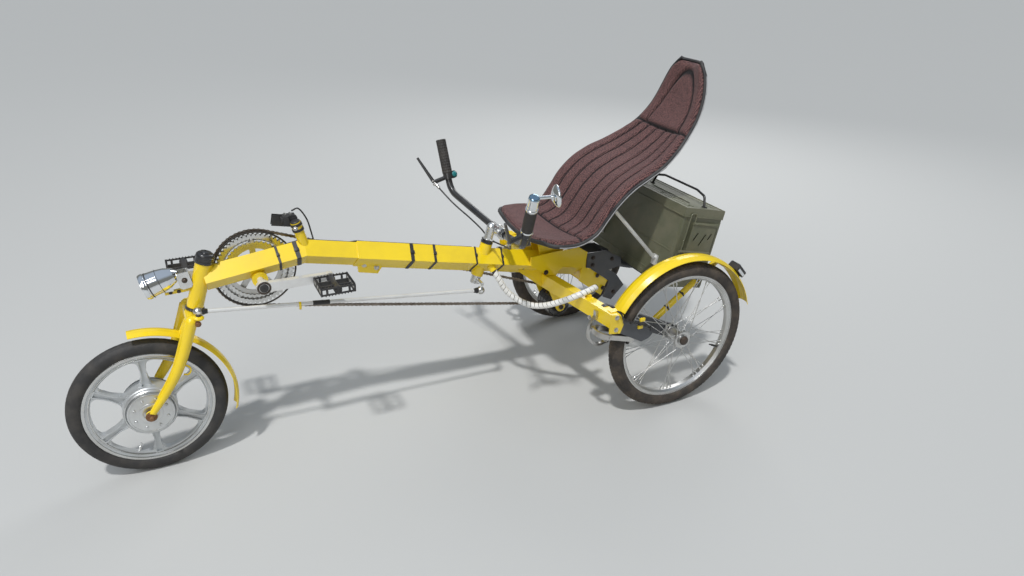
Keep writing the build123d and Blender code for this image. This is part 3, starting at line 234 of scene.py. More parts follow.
BRIGHT_ALLOY = material("polished_crank", (0.80, 0.80, 0.79), 0.34, metal=0.45, dirt=(0.42, 0.38, 0.32),
                        amount=0.3, grain=400.0)
CHROME = material("lamp_chrome", (0.86, 0.88, 0.90), 0.05, metal=1.0, dirt=(0.45, 0.44, 0.42), amount=0.12,
                  rough_spread=0.2, strength=0.04, grain=60.0)
CHAIN_STEEL = material("chain_steel", (0.30, 0.26, 0.22), 0.4, metal=1.0, dirt=(0.10, 0.06, 0.035),
                       amount=0.7, dirt_scale=40.0)
RING_BLACK = material("black_chainring", (0.05, 0.048, 0.046), 0.4, metal=0.6, dirt=(0.16, 0.13, 0.10),
                      amount=0.4)
MOTOR = material("motor_shell", (0.70, 0.71, 0.71), 0.28, metal=0.8, dirt=(0.40, 0.37, 0.33), amount=0.35,
                 grain=400.0)
OLIVE = material("olive_paint", (0.125, 0.130, 0.082), 0.42, dirt=(0.22, 0.20, 0.14), amount=0.55,
                 dirt_scale=14.0, grain=240.0, depth=0.0004, strength=0.35, Coat_Weight=0.15)
LOOM_WRAP = material("white_loom", (0.86, 0.85, 0.82), 0.42, dirt=(0.45, 0.42, 0.35), amount=0.3, grain=200.0)
CABLE = material("cable_sleeve", (0.022, 0.022, 0.023), 0.4, dirt=(0.09, 0.08, 0.07), amount=0.3)
LENS = material("lamp_glass", (0.9, 0.94, 0.97), 0.06, dirt=(0.7, 0.7, 0.68), amount=0.1, strength=0.0,
                Transmission_Weight=0.75, IOR=1.5)
RED_LENS = material("tail_lens", (0.45, 0.012, 0.01), 0.12, dirt=(0.2, 0.02, 0.02), amount=0.2, strength=0.0,
                    Transmission_Weight=0.25)
MIRROR = material("mirror_glass", (0.9, 0.9, 0.9), 0.02, metal=1.0, dirt=(0.7, 0.7, 0.7), amount=0.05,
                  strength=0.0)
SLATE = material("slate_enamel", (0.060, 0.064, 0.072), 0.4, dirt=(0.16, 0.14, 0.12), amount=0.35,
                 dirt_scale=10.0, grain=260.0, strength=0.2, Coat_Weight=0.2)
FORGED = material("forged_alloy", (0.78, 0.78, 0.77), 0.26, metal=0.9, dirt=(0.40, 0.38, 0.34),
                  amount=0.3, grain=420.0, strength=0.25)
GLOSS_BLACK = material("glossy_black", (0.012, 0.013, 0.015), 0.14, dirt=(0.12, 0.10, 0.08), amount=0.35,
                       dirt_scale=26.0, grain=200.0, strength=0.1, Coat_Weight=0.7, Coat_Roughness=0.08)
CAP_BROWN = material("dark_cap", (0.045, 0.034, 0.028), 0.4, metal=0.3, dirt=(0.15, 0.11, 0.08), amount=0.5,
                     dirt_scale=50.0)
BLUE_CHROME = material("blue_chrome", (0.28, 0.42, 0.55), 0.08, metal=1.0, dirt=(0.3, 0.32, 0.34), amount=0.2,
                       rough_spread=0.2, strength=0.05, grain=60.0)
# Pale grey for the painted highlight along the seat shell's edge
EDGE_HIGHLIGHT_PAINT = material("painted_edge_highlight", (0.36, 0.36, 0.37), 0.5, dirt=(0.22, 0.21, 0.2), amount=0.35, grain=900.0)
TEAL = material("teal_button", (0.01, 0.20, 0.21), 0.2, dirt=(0.01, 0.08, 0.09), amount=0.3, Coat_Weight=0.5)
RUST = material("rusty_steel", (0.22, 0.11, 0.055), 0.62, metal=0.5, dirt=(0.36, 0.20, 0.10), amount=0.6,
                dirt_scale=60.0)
PEDAL_GREY = material("pedal_reflector", (0.42, 0.41, 0.38), 0.25, dirt=(0.2, 0.17, 0.13), amount=0.5,
                      grain=500.0)
# Near-black matte for the painted shade in the latch plate's slots
SLOT_SHADE_PAINT = material("painted_slot_shade", (0.012, 0.012, 0.010), 0.8, amount=0.1, strength=0.1)
STEEL_OLIVE = material("worn_olive_steel", (0.30, 0.31, 0.24), 0.38, metal=0.5, dirt=(0.16, 0.14, 0.09),
                       amount=0.55, dirt_scale=40.0)
BINDING = material("edge_binding", (0.02, 0.02, 0.022), 0.6, dirt=(0.14, 0.13, 0.12), amount=0.5,
                   grain=1200.0, strength=0.5)


# Mesh helpers
def finish_mesh(name, mesh, skin, body, slot=None, angle=None):
    made = bpy.data.objects.new(name, mesh)
    bpy.context.scene.collection.objects.link(made)
    mesh.materials.append(skin)
    for polygon in mesh.polygons:
        polygon.use_smooth = True
    if angle:
        mesh.set_sharp_from_angle(angle=math.radians(angle))
    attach(made, body)
    return made


def from_data(name, points, faces, skin, body, **more):
    mesh = bpy.data.meshes.new(name)
    mesh.from_pydata([tuple(p) for p in points], [], faces)
    mesh.update()
    return finish_mesh(name, mesh, skin, body, **more)


def ring_faces(rows, steps, closed=False):
    # Quads between rings of points, each ring with the same number of steps
    faces = []
    for i in range(rows if closed else rows - 1):
        j = (i + 1) % rows
        for k in range(steps):
            m = (k + 1) % steps
            faces.append((i * steps + k, i * steps + m, j * steps + m, j * steps + k))
    return faces


def end_faces(rows, steps):
    # The first and the last ring as flat ends
    return [tuple(reversed(range(steps))), tuple(range((rows - 1) * steps, rows * steps))]


def plate_faces(count):
    # Two outlines of count points, closed into a plate
    faces = [tuple(range(count)), tuple(reversed(range(count, 2 * count)))]
    return faces + [(k, count + k, count + (k + 1) % count, (k + 1) % count) for k in range(count)]


def around(side, other, angle):
    return side * math.cos(angle) + other * math.sin(angle)


def carried(side, along):
    # A direction square to along that follows the last one without a twist
    if side is None:
        return along.orthogonal().normalized()
    return (side - along * side.dot(along)).normalized()


def walk(line):
    # How far along the line each of its points lies
    lengths = [0.0]
    for p, q in zip(line, line[1:]):
        lengths.append(lengths[-1] + (q - p).length)
    return lengths


def stretch_at(lengths, distance):
    # The stretch of a line that holds this distance, and the share of the stretch passed there
    i = 0
    while i < len(lengths) - 2 and lengths[i + 1] < distance:
        i += 1
    share = (distance - lengths[i]) / max(lengths[i + 1] - lengths[i], 1e-9)
    return i, min(max(share, 0), 1)


def along_line(line, lengths, distance):
    # The place at this distance along the line, and the line's direction there
    i, share = stretch_at(lengths, distance)
    return line[i].lerp(line[i + 1], share), (line[i + 1] - line[i]).normalized()


class Build:
    # Collects simple bodies in one mesh
    def __init__(self):
        self.points = []
        self.faces = []

    def take(self, points, faces):
        base = len(self.points)
        self.points += [Vector(p) for p in points]
        self.faces += [tuple(base + i for i in face) for face in faces]

    def lathe(self, origin, axis, profile, steps=32, closed=False):
        # profile holds (radius, height) in millimetres; a zero radius closes an end
        axis = Vector(axis).normalized()
        side = axis.orthogonal().normalized()
        other = axis.cross(side)
        points = []
        for radius, height in profile:
            for k in range(steps):
                out = around(side, other, 2 * math.pi * k / steps)
                points.append(Vector(origin) + out * radius / 1000 + axis * height / 1000)
        faces = ring_faces(len(profile), steps, closed)
        if not closed:
            faces += end_faces(len(profile), steps)
        self.take(points, faces)

    def tube(self, path, radius, steps=12):
        # A round tube along a path, its radius in millimetres
        path = [Vector(p) for p in path]
        last = len(path) - 1
        points = []
        side = None
        for i, p in enumerate(path):
            along = (path[min(i + 1, last)] - path[max(i - 1, 0)]).normalized()
            side = carried(side, along)
            other = along.cross(side)
            for k in range(steps):
                points.append(p + around(side, other, 2 * math.pi * k / steps) * (radius / 1000))
        self.take(points, end_faces(last + 1, steps) + ring_faces(last + 1, steps))

    def block(self, matrix, size, chamfer):
        # A box in a local frame, in millimetres, with its edges cut by chamfer
        x, y, z = (s / 2000 for s in size)
        c = min(chamfer / 1000, x * 0.9, y * 0.9, z * 0.9)
        solid = bmesh.new()
        bmesh.ops.create_cube(solid, size=1)
        bmesh.ops.scale(solid, vec=(2 * x, 2 * y, 2 * z), verts=solid.verts)
        bmesh.ops.bevel(solid, geom=list(solid.edges), offset=c, segments=2, profile=0.6, affect="EDGES")
        solid.verts.ensure_lookup_table()
        self.take([matrix @ v.co for v in solid.verts],
                  [tuple(v.index for v in f.verts) for f in solid.faces])
        solid.free()

    def prism(self, matrix, outline, low, high):
        # A plate from an outline (x, y) in a local frame
        count = len(outline)
        points = [matrix @ mm(x, y, h) for h in (low, high) for x, y in outline]
        faces = [tuple(reversed(range(count))), tuple(range(count, 2 * count))]
        faces += [(k, (k + 1) % count, count + (k + 1) % count, count + k) for k in range(count)]
        self.take(points, faces)

    def bolt(self, origin, axis, radius, height, washer):
        # A six-sided head on a round washer
        self.lathe(origin, axis, [(0, 0), (washer, 0), (washer, WASHER_T), (0, WASHER_T)], 20)
        base = Vector(origin) + Vector(axis).normalized() * WASHER_T / 1000
        self.lathe(base, axis, [(0, 0), (radius, 0), (radius, height - 1), (radius - 1, height),
                                (0, height)], 6)

    def object(self, name, skin, body, **more):
        return from_data(name, self.points, self.faces, skin, body, **more)


def local_frame(origin, along, side=(0, 1, 0)):
    # Local Z runs along, local X is as near to side as it can be
    along = Vector(along).normalized()
    x = (Vector(side) - along * Vector(side).dot(along)).normalized()
    y = along.cross(x)
    return Matrix.Translation(origin) @ Matrix((x, y, along)).transposed().to_4x4()


def smooth_path(points, steps=8):
    # A Catmull-Rom line through points
    points = [Vector(p) for p in points]
    padded = [points[0] * 2 - points[1]] + points + [points[-1] * 2 - points[-2]]
    line = []
    for i in range(1, len(padded) - 2):
        a, b, c, d = padded[i - 1:i + 3]
        for k in range(steps):
            t = k / steps
            line.append(0.5 * ((2 * b) + (c - a) * t + (2 * a - 5 * b + 4 * c - d) * t * t
                               + (3 * b - a - 3 * c + d) * t ** 3))
    return line + [points[-1]]


def dress(skin, *names, bevel=0.0, angle=35):
    # Gives CAD nodes a material and softened edges
    for name in names:
        node = nodes[name]
        node.data.materials.clear()
        node.data.materials.append(skin)
        if bevel:
            cut = node.modifiers.new("edges", "BEVEL")
            cut.width = bevel / 1000
            cut.segments = 2
            cut.limit_method = "ANGLE"
            cut.angle_limit = math.radians(angle)
            cut.harden_normals = True


def pair(*names):
    return [f"{name}_{side}" for name in names for side, _ in SIDES]


# Camera, floor and light
def aim_camera():
    yaw, pitch, roll = (math.radians(angle) for angle in (CAMERA_YAW, CAMERA_PITCH, CAMERA_ROLL))
    forward = Vector((math.cos(pitch) * math.cos(yaw), math.cos(pitch) * math.sin(yaw), -math.sin(pitch)))
    level_right = Vector((math.sin(yaw), -math.cos(yaw), 0))
    level_down = forward.cross(level_right)
    if level_down.z > 0:
        level_down.negate()
    right = level_right * math.cos(roll) + level_down * math.sin(roll)
    down = level_down * math.cos(roll) - level_right * math.sin(roll)
    data = bpy.data.cameras.new("camera")
    data.sensor_width = SENSOR_WIDTH
    data.lens = SENSOR_WIDTH * FOCAL_PIXELS / PHOTO_WIDTH
    data.clip_end = 300
    camera = bpy.data.objects.new("camera", data)
    bpy.context.scene.collection.objects.link(camera)
    turn = Matrix((right, -down, -forward)).transposed().to_4x4()
    camera.matrix_world = Matrix.Translation(at(*CAMERA_AT)) @ turn
    bpy.context.scene.camera = camera


def lay_floor():
    half = 80
    corners = [(-half, -half, 0), (half, -half, 0), (half, half, 0), (-half, half, 0)]
    mesh = bpy.data.meshes.new("floor")
    mesh.from_pydata(corners, [], [(0, 1, 2, 3)])
    floor = bpy.data.objects.new("floor", mesh)
    bpy.context.scene.collection.objects.link(floor)
    pale = bpy.data.materials.new("floor_pale")
    pale.use_nodes = True
    shader = pale.node_tree.nodes["Principled BSDF"]
    shader.inputs["Base Color"].default_value = (0.50, 0.50, 0.485, 1)
    shader.inputs["Roughness"].default_value = 0.9
    floor.data.materials.append(pale)


def light(name, kind, place, target, energy, size):
    data = bpy.data.lights.new(name, kind)
    data.energy = energy
    if kind == "AREA":
        data.size = size
    else:
        data.angle = size
    lamp = bpy.data.objects.new(name, data)
    bpy.context.scene.collection.objects.link(lamp)
    lamp.location = place
    lamp.rotation_mode = "QUATERNION"
    lamp.rotation_quaternion = (Vector(target) - Vector(place)).to_track_quat("-Z", "Y")


def light_scene():
    world = bpy.data.worlds.new("world")
    bpy.context.scene.world = world
    world.use_nodes = True
    tree = world.node_tree
    backdrop = tree.nodes["Background"]
    where = add(tree, "ShaderNodeTexCoord")
    split = add(tree, "ShaderNodeSeparateXYZ", {"Vector": where.outputs["Generated"]})
    ramp = add(tree, "ShaderNodeValToRGB", {"Fac": split.outputs["Z"]})
    ramp.color_ramp.elements[0].color = (0.30, 0.31, 0.29, 1)
    ramp.color_ramp.elements[0].position = 0.45
    ramp.color_ramp.elements[1].color = (0.62, 0.72, 0.86, 1)
    ramp.color_ramp.elements[1].position = 0.75
    # The camera sees a pale wall; the object is lit by the ramp
    path = add(tree, "ShaderNodeLightPath")
    seen = add(tree, "ShaderNodeMix", data_type="RGBA")
    tree.links.new(path.outputs["Is Camera Ray"], seen.inputs[0])
    tree.links.new(ramp.outputs["Color"], seen.inputs[6])
    seen.inputs[7].default_value = (0.93, 0.94, 0.95, 1)
    tree.links.new(seen.outputs[2], backdrop.inputs["Color"])
    backdrop.inputs["Strength"].default_value = 0.6
    light("sun", "SUN", (1.2, 1.2, 4.0), (0, 0, 0.3), 2.1, 0.06)
    light("key", "AREA", (2.6, 2.8, 3.2), (0, 0, 0.4), 60, 2.5)
    light("rim", "AREA", (-2.8, -2.4, 2.6), (0, 0, 0.5), 40, 2.0)


aim_camera()
lay_floor()
light_scene()
bpy.context.scene.view_settings.view_transform = "Standard"


# Frame finishes
dress(PAINT, "front_boom", "main_beam", "cross_tube", "fork", "front_mudguard", "tail_bracket",
      "seat_bracket", *pair("rear_mudguard", "guard_stay"), bevel=1.4)
dress(SLATE, "carrier", *pair("rear_arm", "brake_plate"), bevel=1.0)
dress(BLACK_PAINT, "headset", "headset_cap", "handlebar", bevel=0.6)
dress(FORGED, "stem", bevel=1.0)
dress(WHITE_ROD, "drag_link", *pair("seat_stay"), bevel=0.4)
dress(CAST, "front_wheel_casting", bevel=1.6, angle=28)
dress(MOTOR, "motor_covers", bevel=1.6)
dress(RUST, "front_axle", bevel=0.5)
dress(BRIGHT_ALLOY, "crank_arms", bevel=2.0)
dress(SATIN_ALLOY, "chainrings", *pair("rear_rim"), bevel=0.5)
dress(SATIN_ALLOY, *pair("rear_hub"))
dress(GLOSS_BLACK, "mid_hub", bevel=2.0)
dress(BLACK_PLASTIC, "derailleur", "seat_shell", *pair("tail_lamp"), bevel=1.0)
dress(CHROME, "headlamp", "mirror")
dress(LENS, "headlamp_lens")
dress(STEEL, *pair("brake_caliper"), bevel=0.8)
dress(BLACK_PAINT, "lid_handle", *pair("brake_lever"), bevel=0.6)
dress(OLIVE, "box_body", "box_lid", "box_latch", bevel=1.6)


# Tyres
def tyre_piece(name, node, body, centre, y, radius, width, seat_radius, tread, skin, turns, across):
    # A patterned round section, closed inside the rim by a flat bead
    core = radius - width / 2
    reach = math.pi / 2 + math.asin(min((core - seat_radius) / (width / 2), 1.0))
    bead_radius, bead_share, bead_points = seat_radius + 1.0, 0.28, 4
    points = []
    for i in range(turns):
        section = []
        for k in range(across + 1):
            p = -reach + 2 * reach * k / across
            r = tread(i / turns, p, width / 2)
            section.append((core + r * math.cos(p), r * math.sin(p)))
        for k in range(bead_points):
            section.append((bead_radius, (1 - 2 * (k + 1) / (bead_points + 1)) * width * bead_share))
        a = 2 * math.pi * i / turns
        for out, offset in section:
            points.append(at(centre[0] + out * math.cos(a), y + offset, centre[1] + out * math.sin(a)))
    faces = ring_faces(turns, across + 1 + bead_points, closed=True)
    made = from_data(name, points, faces, skin, body, slot="tyre")
    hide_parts(node)


def rear_tread(turn, p, r):
    # Small staggered blocks over the crown and a ribbed shoulder
    cells, lane_angle = 96, 0.30
    lane = p / lane_angle
    cell = math.floor(lane + 0.5)
    edge = abs(lane - cell)
    depth = 0.0
    if abs(p) < 1.05:
        phase = (turn * cells + 0.5 * (cell % 2)) % 1.0
        depth = 1.5 if (phase < 0.22 or edge > 0.38) else 0.0
    elif abs(p) < 1.35:
        depth = 1.0 if (turn * cells) % 1.0 < 0.35 else 0.0
    return r - TREAD_SKIN - depth


def front_tread(turn, p, r):
    # Three fine rings and slanted cuts
    cuts, slope = 72, 1.6
    depth = 0.0
    for ring_at in (-0.42, 0.0, 0.42):
        if abs(p - ring_at) < 0.05:
            depth = 1.1
    slant = (turn * cuts + slope * abs(p)) % 1.0
    if 0.5 < abs(p) < 1.0 and slant < 0.16:
        depth = max(depth, 0.9)
    return r - TREAD_SKIN - depth


tyre_piece("front_tyre_tread", "front_tyre", "front_wheel", (WHEELBASE, FRONT_AXLE_Z), 0, 204, 44, 168,
           front_tread, FRONT_TYRE, 432, 44)
for side, s in SIDES:
    tyre_piece(f"rear_tyre_tread_{side}", f"rear_tyre_{side}", f"rear_wheel_{side}", (0, REAR_AXLE_Z),
               s * HALF_TRACK, 250, 47, 211, rear_tread, TYRE, 576, 44)


# Chain
def pitch_radius(teeth):
    return CHAIN_PITCH / 2 / math.sin(math.pi / teeth)


def chain_line():
    # The line through the chain's pins, round the ring and the cog
    big_r = pitch_radius(RING_TEETH) + RING_CHAIN_OUT
    small_r = pitch_radius(COG_TEETH) + COG_CHAIN_OUT
    a, b = Vector(CRANK_AXLE), Vector(MID_HUB)
    span = (b - a).length
    along = (b - a).normalized()
    side = Vector((-along.y, along.x))
    lean = math.acos((big_r - small_r) / span)
    big_steps, small_steps = 90, 30
    points = []
    for k in range(big_steps + 1):
        points.append(a + around(along, side, lean + (2 * math.pi - 2 * lean) * k / big_steps) * big_r)
    for k in range(small_steps + 1):
        points.append(b + around(along, side, -lean + 2 * lean * k / small_steps) * small_r)
    return points + [points[0]]


def link_outline(p, q):
    # Round ends about both pins with a waist between them
    end_r, waist, steps = 3.9, 2.6, 5
    along = (q - p).normalized()
    side = Vector((-along.y, along.x))
    outline = []
    for pin, sign in ((p, 1), (q, -1)):
        for k in range(steps + 1):
            outline.append(pin + around(along, side, sign * math.pi / 2 + math.pi * k / steps) * end_r)
        outline.append((p + q) / 2 - side * waist * sign)
    return outline


def chain_piece():
    line = chain_line()
    lengths = walk(line)
    links = round(lengths[-1] / CHAIN_PITCH)
    pitch = lengths[-1] / links
    pins = [along_line(line, lengths, i * pitch)[0] for i in range(links)]
    inner_plate, outer_plate = (1.8, 2.8), (2.9, 3.9)
    roller = [(0, 0), (1.7, 0), (1.7, 2.2), (3.8, 2.2), (3.8, 5.8), (1.7, 5.8), (1.7, 8), (0, 8)]
    work = Build()
    for i, p in enumerate(pins):
        outline = link_outline(p, pins[(i + 1) % links])
        low, high = outer_plate if i % 2 else inner_plate
        for near, far in ((-high, -low), (low, high)):
            points = [at(o.x, CHAIN_Y + y, o.y) for y in (near, far) for o in outline]
            work.take(points, plate_faces(len(outline)))
        work.lathe(at(p.x, CHAIN_Y - 4, p.y), (0, 1, 0), roller, 8)
    made = work.object("chain_links", CHAIN_STEEL, "frame", slot="chain_steel", angle=40)
    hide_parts("chain")


chain_piece()


# Cords: the loom in its spiral wrap and the two brake cables under the bars
LOOM = [
    (500, 30, 437), (488, 45, 414), (477, 53, 386), (452, 66, 353), (405, 104, 328), (374, 143, 340),
    (345, 180, 364), (325, 206, 384), (298, 222, 400), (262, 222, 408), (232, 211, 409),
]
BAR_CABLE = [
    (564, 267, 628), (544, 233, 598), (527, 192, 577), (512, 146, 562), (502, 100, 549), (495, 62, 538),
    (500, 26, 535),
]


def cord_curve(name, points, radius, body, node):
    # A NURBS cord through its route; returns the points along it
    curve = bpy.data.curves.new(name, "CURVE")
    curve.dimensions = "3D"
    curve.resolution_u = 16
    spline = curve.splines.new("NURBS")
    spline.points.add(len(points) - 1)
    for point, place in zip(spline.points, points):
        point.co = (*at(*place), 1)
    spline.order_u = 3
    spline.use_endpoint_u = True
    made = bpy.data.objects.new(name, curve)
    bpy.context.scene.collection.objects.link(made)
    bare = bpy.data.meshes.new_from_object(made)
    line = [v.co.copy() for v in bare.vertices]
    bpy.data.meshes.remove(bare)
    curve.bevel_depth = radius / 1000
    curve.bevel_resolution = 5
    curve.use_fill_caps = True
    curve.materials.append(CABLE)
    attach(made, body)
    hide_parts(node)
    return line


def spiral_wrap(name, line, node):
    # A white strip wound round the loom with a narrow gap between its turns, in metres
    pitch, width, edge, inner, outer, steps = 0.0150, 0.0136, 0.001, 0.0078, 0.0096, 24
    section = ((-width / 2, inner), (-width / 2 + edge, outer), (width / 2 - edge, outer), (width / 2, inner))
    lengths = walk(line)
    turns = (lengths[-1] - width) / pitch
    count = int(turns * steps)
    points = []
    side = None
    for i in range(count + 1):
        middle = width / 2 + i * pitch / steps
        for offset, radius in section:
            p, along = along_line(line, lengths, middle + offset)
            side = carried(side, along)
            points.append(p + around(side, along.cross(side), 2 * math.pi * i / steps) * radius)
    rows, across = count + 1, len(section)
    faces = ring_faces(rows, across) + end_faces(rows, across)
    made = from_data(name, points, faces, LOOM_WRAP, "frame", slot="loom_wrap", angle=50)
    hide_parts(node)


loom_line = cord_curve("loom_core", LOOM, 7.8, "frame", "loom")
spiral_wrap("loom_spiral", loom_line, "loom")
for side, s in SIDES:
    route = [(x, s * y, z) for x, y, z in BAR_CABLE]
    cord_curve(f"bar_cable_sleeve_{side}", route, 2.5, "handlebar_set", f"bar_cable_{side}")


# Beam: ties, clamp bolts and the two cables along its ridge
def beam_point(x):
    # The beam's axis height at x, its direction, and half its diagonal
    a, b = (BOOM_HEAD, BEAM_BEND) if x > BEAM_BEND[0] else (BEAM_BEND, BEAM_TAIL)
    t = (x - a[0]) / (b[0] - a[0])
    half = (BOOM_SIDE if x > SEAM_X else SLEEVE_SIDE) * math.sqrt(2) / 2
    return a[1] + t * (b[1] - a[1]), Vector((b[0] - a[0], 0, b[1] - a[1])).normalized(), half


def beam_tie(work, x, width, lock_side):
    # A strap drawn round the diamond section, with its lock
    z, along, half = beam_point(x)
    frame_at = local_frame(at(x, 0, z), along)
    thick, sunk, edge, flat = 1.7, 0.3, 0.6, 1.2
    profile = ((-width / 2, sunk), (-width / 2 + edge, thick), (width / 2 - edge, thick), (width / 2, sunk))
    points = []
    for offset, grow in profile:
        far = half + grow * math.sqrt(2) - flat
        for u, v in ((1, 0), (0, -1), (-1, 0), (0, 1)):
            for side in (flat, -flat):
                points.append(frame_at @ mm(u * far - v * side, v * far + u * side, offset))
    faces = []
    for i in range(len(profile) - 1):
        for k in range(8):
            m = (k + 1) % 8
            faces.append((i * 8 + k, (i + 1) * 8 + k, (i + 1) * 8 + m, i * 8 + m))
    work.take(points, faces)
    lean = Matrix.Rotation(math.radians(45 * lock_side), 4, "Z")
    lock = frame_at @ Matrix.Translation(mm(0.5 * half, 0.5 * half * lock_side, 0)) @ lean
    work.block(lock @ Matrix.Translation(mm(2.6, 0, 0)), (4.6, 9.0, width + 1.4), 0.8)


def beam_trim():
    ties = Build()
    for x, width, lock_side in ((1142, 7, -1), (1091, 12, -1), (766, 11, -1), (695, 8, -1), (560, 6, -1),
                                (470, 6, -1)):
        beam_tie(ties, x, width, lock_side)
    ties.object("beam_ties", BLACK_PLASTIC, "frame", slot="black_plastic", angle=40)
    ridge = Build()
    for start, end, y, sway, wave, drop in ((1120, 540, -7.0, 0.6, 37.0, 2.9),
                                            (1000, 520, -12.4, 0.8, 29.0, 8.3)):
        path = []
        for x in range(start, end, -20):
            z, along, half = beam_point(x)
            path.append(at(x, y - sway * math.sin(x / wave), z + half - drop))
        ridge.tube(smooth_path(path, 3), 2.5, 10)
    ridge.object("ridge_cables", CABLE, "frame", slot="black_plastic")
    bolts = Build()
    for x, z in ((904, 519), (868, 504)):
        for s in (1, -1):
            bolts.bolt(at(x, s * 5, z), (0, s, 0), 5.5, 5, 8.0)
    bolts.object("clamp_bolts", STEEL, "frame", slot="steel", angle=40)


beam_trim()


# Front lamp, headset and fork fittings
def lamp_trim():
    tail = at(LAMP_TAIL[0], 0, LAMP_TAIL[1])
    along = (at(LAMP_NOSE[0], 0, LAMP_NOSE[1]) - tail).normalized()
    bezel = Build()
    bezel.lathe(tail + along * 0.0785, along, [(33.4, 0), (35.2, 1.2), (36.0, 4), (36.0, 9), (35.0, 12.5),
                                               (32.4, 13.6), (30.6, 12.2), (30.6, 10)], 64, closed=True)
    bezel.object("lamp_bezel", CHROME, "frame", slot="lamp_chrome", angle=50)
    seam = Build()
    seam.lathe(tail + along * 0.0735, along, [(33.2, 0), (34.35, 0.6), (34.35, 3.2), (33.2, 3.8)], 64,
               closed=True)
    seam.lathe(tail + along * 0.0480, along, [(30.4, 0), (31.85, 0.5), (31.95, 1.6), (30.4, 2.1)], 64,
               closed=True)
    seam.object("lamp_seam", BLACK_PLASTIC, "frame", slot="black_plastic", angle=50)
    ring_step, ring_count, ring_high, glass_front, glass_back = 2.05, 14, 0.55, 5.6, 5.8
    rings = [(0.0, glass_front)]
    for i in range(1, ring_count + 1):
        rings.append((i * ring_step, glass_front + ring_high * (i % 2)))
    glass = Build()
    glass.lathe(tail + along * 0.0845, along, [(0, 0)] + list(reversed(rings)) + [(0, glass_back)], 64)
    glass.object("lamp_lens_rings", LENS, "frame", slot="lens", angle=30)
    mount = Build()
    place = local_frame(at(1385, 0, 562), (0, 1, 0), (1, 0, 0)) @ Matrix.Rotation(math.radians(10), 4, "Z")
    ear = [(-14, -22), (12, -24), (17, -18), (17, 18), (11, 23), (-10, 23), (-15, 17)]
    for y in (-13, 13):
        mount.prism(place, ear, y - 1.6, y + 1.6)
    mount.block(place @ Matrix.Translation(mm(-12.0, 0, 0)), (3.2, 40, 26), 0.8)
    mount.object("lamp_bracket", FORGED, "frame", slot="steel", angle=40)
    bolts = Build()
    for s in (1, -1):
        bolts.bolt(at(1386, s * 14.6, 563), (0, s, 0), 5.2, 4.6, 7.4)
    for x, z in ((1352, 545), (1404, 531), (1424, 531)):
        bolts.bolt(at(x, 6, z), (0, 1, 0), 3.6, 3.2, 5.0)
    bolts.object("lamp_bolts", CAP_BROWN, "frame", slot="steel", angle=40)


def head_point(distance):
    # A place on the head tube's axis, this far above its foot
    return at(HEAD_FOOT[0], 0, HEAD_FOOT[1]) + STEER_AXIS * (distance / 1000)


def headset_trim():
    cups = Build()
    cups.lathe(head_point(-8), STEER_AXIS, [(23.6, 0), (25.0, 0.6), (25.0, 3.0), (24.4, 3.6), (24.4, 5.4),
                                            (23.6, 6.2)], 64, closed=True)
    cups.lathe(head_point(HEAD_LENGTH), STEER_AXIS, [(23.4, 1.6), (24.6, 2.4), (24.6, 5.6), (23.4, 6.4)],
               64, closed=True)
    cups.object("headset_rings", GLOSS_BLACK, "frame", slot="black_metal", angle=40)
    cap = Build()
    cap.lathe(head_point(HEAD_LENGTH + 27.9), STEER_AXIS,
              [(15, 0), (15, 1.2), (13.5, 3.6), (9, 5.0), (4.5, 5.6), (4.5, 3.6), (3.6, 3.4), (0, 3.4)], 48)
    cap.lathe(head_point(HEAD_LENGTH + 15.7), STEER_AXIS,
              [(23.5, 0), (24.7, 0.7), (24.7, 2.3), (23.5, 3.0)], 64, closed=True)
    cap.object("headset_cap_button", GLOSS_BLACK, "steering", slot="black_metal", angle=40)


def fork_trim():
    steel = Build()
    for s in (1, -1):
        steel.bolt(at(1374, s * 71.6, 459), (0.15, s, 0.1), 6.0, 5.5, 8.5)
        steel.lathe(at(WHEELBASE, s * 60, FRONT_AXLE_Z), (0, s, 0),
                    [(0, 0), (15, 0), (15, 1.6), (12.5, 2.4), (0, 2.4)], 32)
        steel.lathe(at(WHEELBASE, s * 67, FRONT_AXLE_Z), (0, s, 0),
                    [(0, 0), (6, 0), (6, 8), (4.8, 9.5), (0, 9.5)], 20)
    steel.object("fork_fasteners", RUST, "steering", slot="steel", angle=40)
    crown_end, upward = (1372, 61, 468), (-0.2, 0, 1)
    hooks = Build()
    plugs = Build()
    for s in (1, -1):
        y = s * 58
        hook = [at(1437, y, 333), at(1424, y, 338), at(1413, y, 331), at(1411, y, 318), at(1419, y, 309),
                at(1430, y, 312)]
        hooks.tube(smooth_path(hook, 6), 2.4, 10)
        lip = [at(x + r * 0.93, y, z + r * 0.42) for x, z, r in BLADE_PATH]
        hooks.tube(smooth_path(lip, 8), 2.2, 8)
        end = at(crown_end[0], s * crown_end[1], crown_end[2])
        hooks.lathe(end, upward, [(0, 0), (13, 0), (15.5, 2.5), (15.5, 6.0), (13, 8.4), (0, 9)], 32)
        plugs.lathe(end, upward, [(0, 8), (6.5, 8), (6.5, 10.8), (4.6, 12), (0, 12)], 20)
    hooks.object("fork_hooks", PAINT, "steering", slot="frame_paint", angle=50)
    plugs.object("crown_plugs", CAP_BROWN, "steering", slot="steel", angle=40)


lamp_trim()
headset_trim()
fork_trim()


# Front wheel: hollow corners beside the spokes, rim lips, motor rings and screws, and the valve
def wheel_point(radius, angle, y):
    return at(WHEELBASE + radius * math.cos(angle), y, FRONT_AXLE_Z + radius * math.sin(angle))


def face_rings(work, centre, profiles, steps):
    # The same closed rings on the left and the right face of a wheel
    for s in (1, -1):
        for profile in profiles:
            work.lathe(centre, (0, s, 0), profile, steps, closed=True)


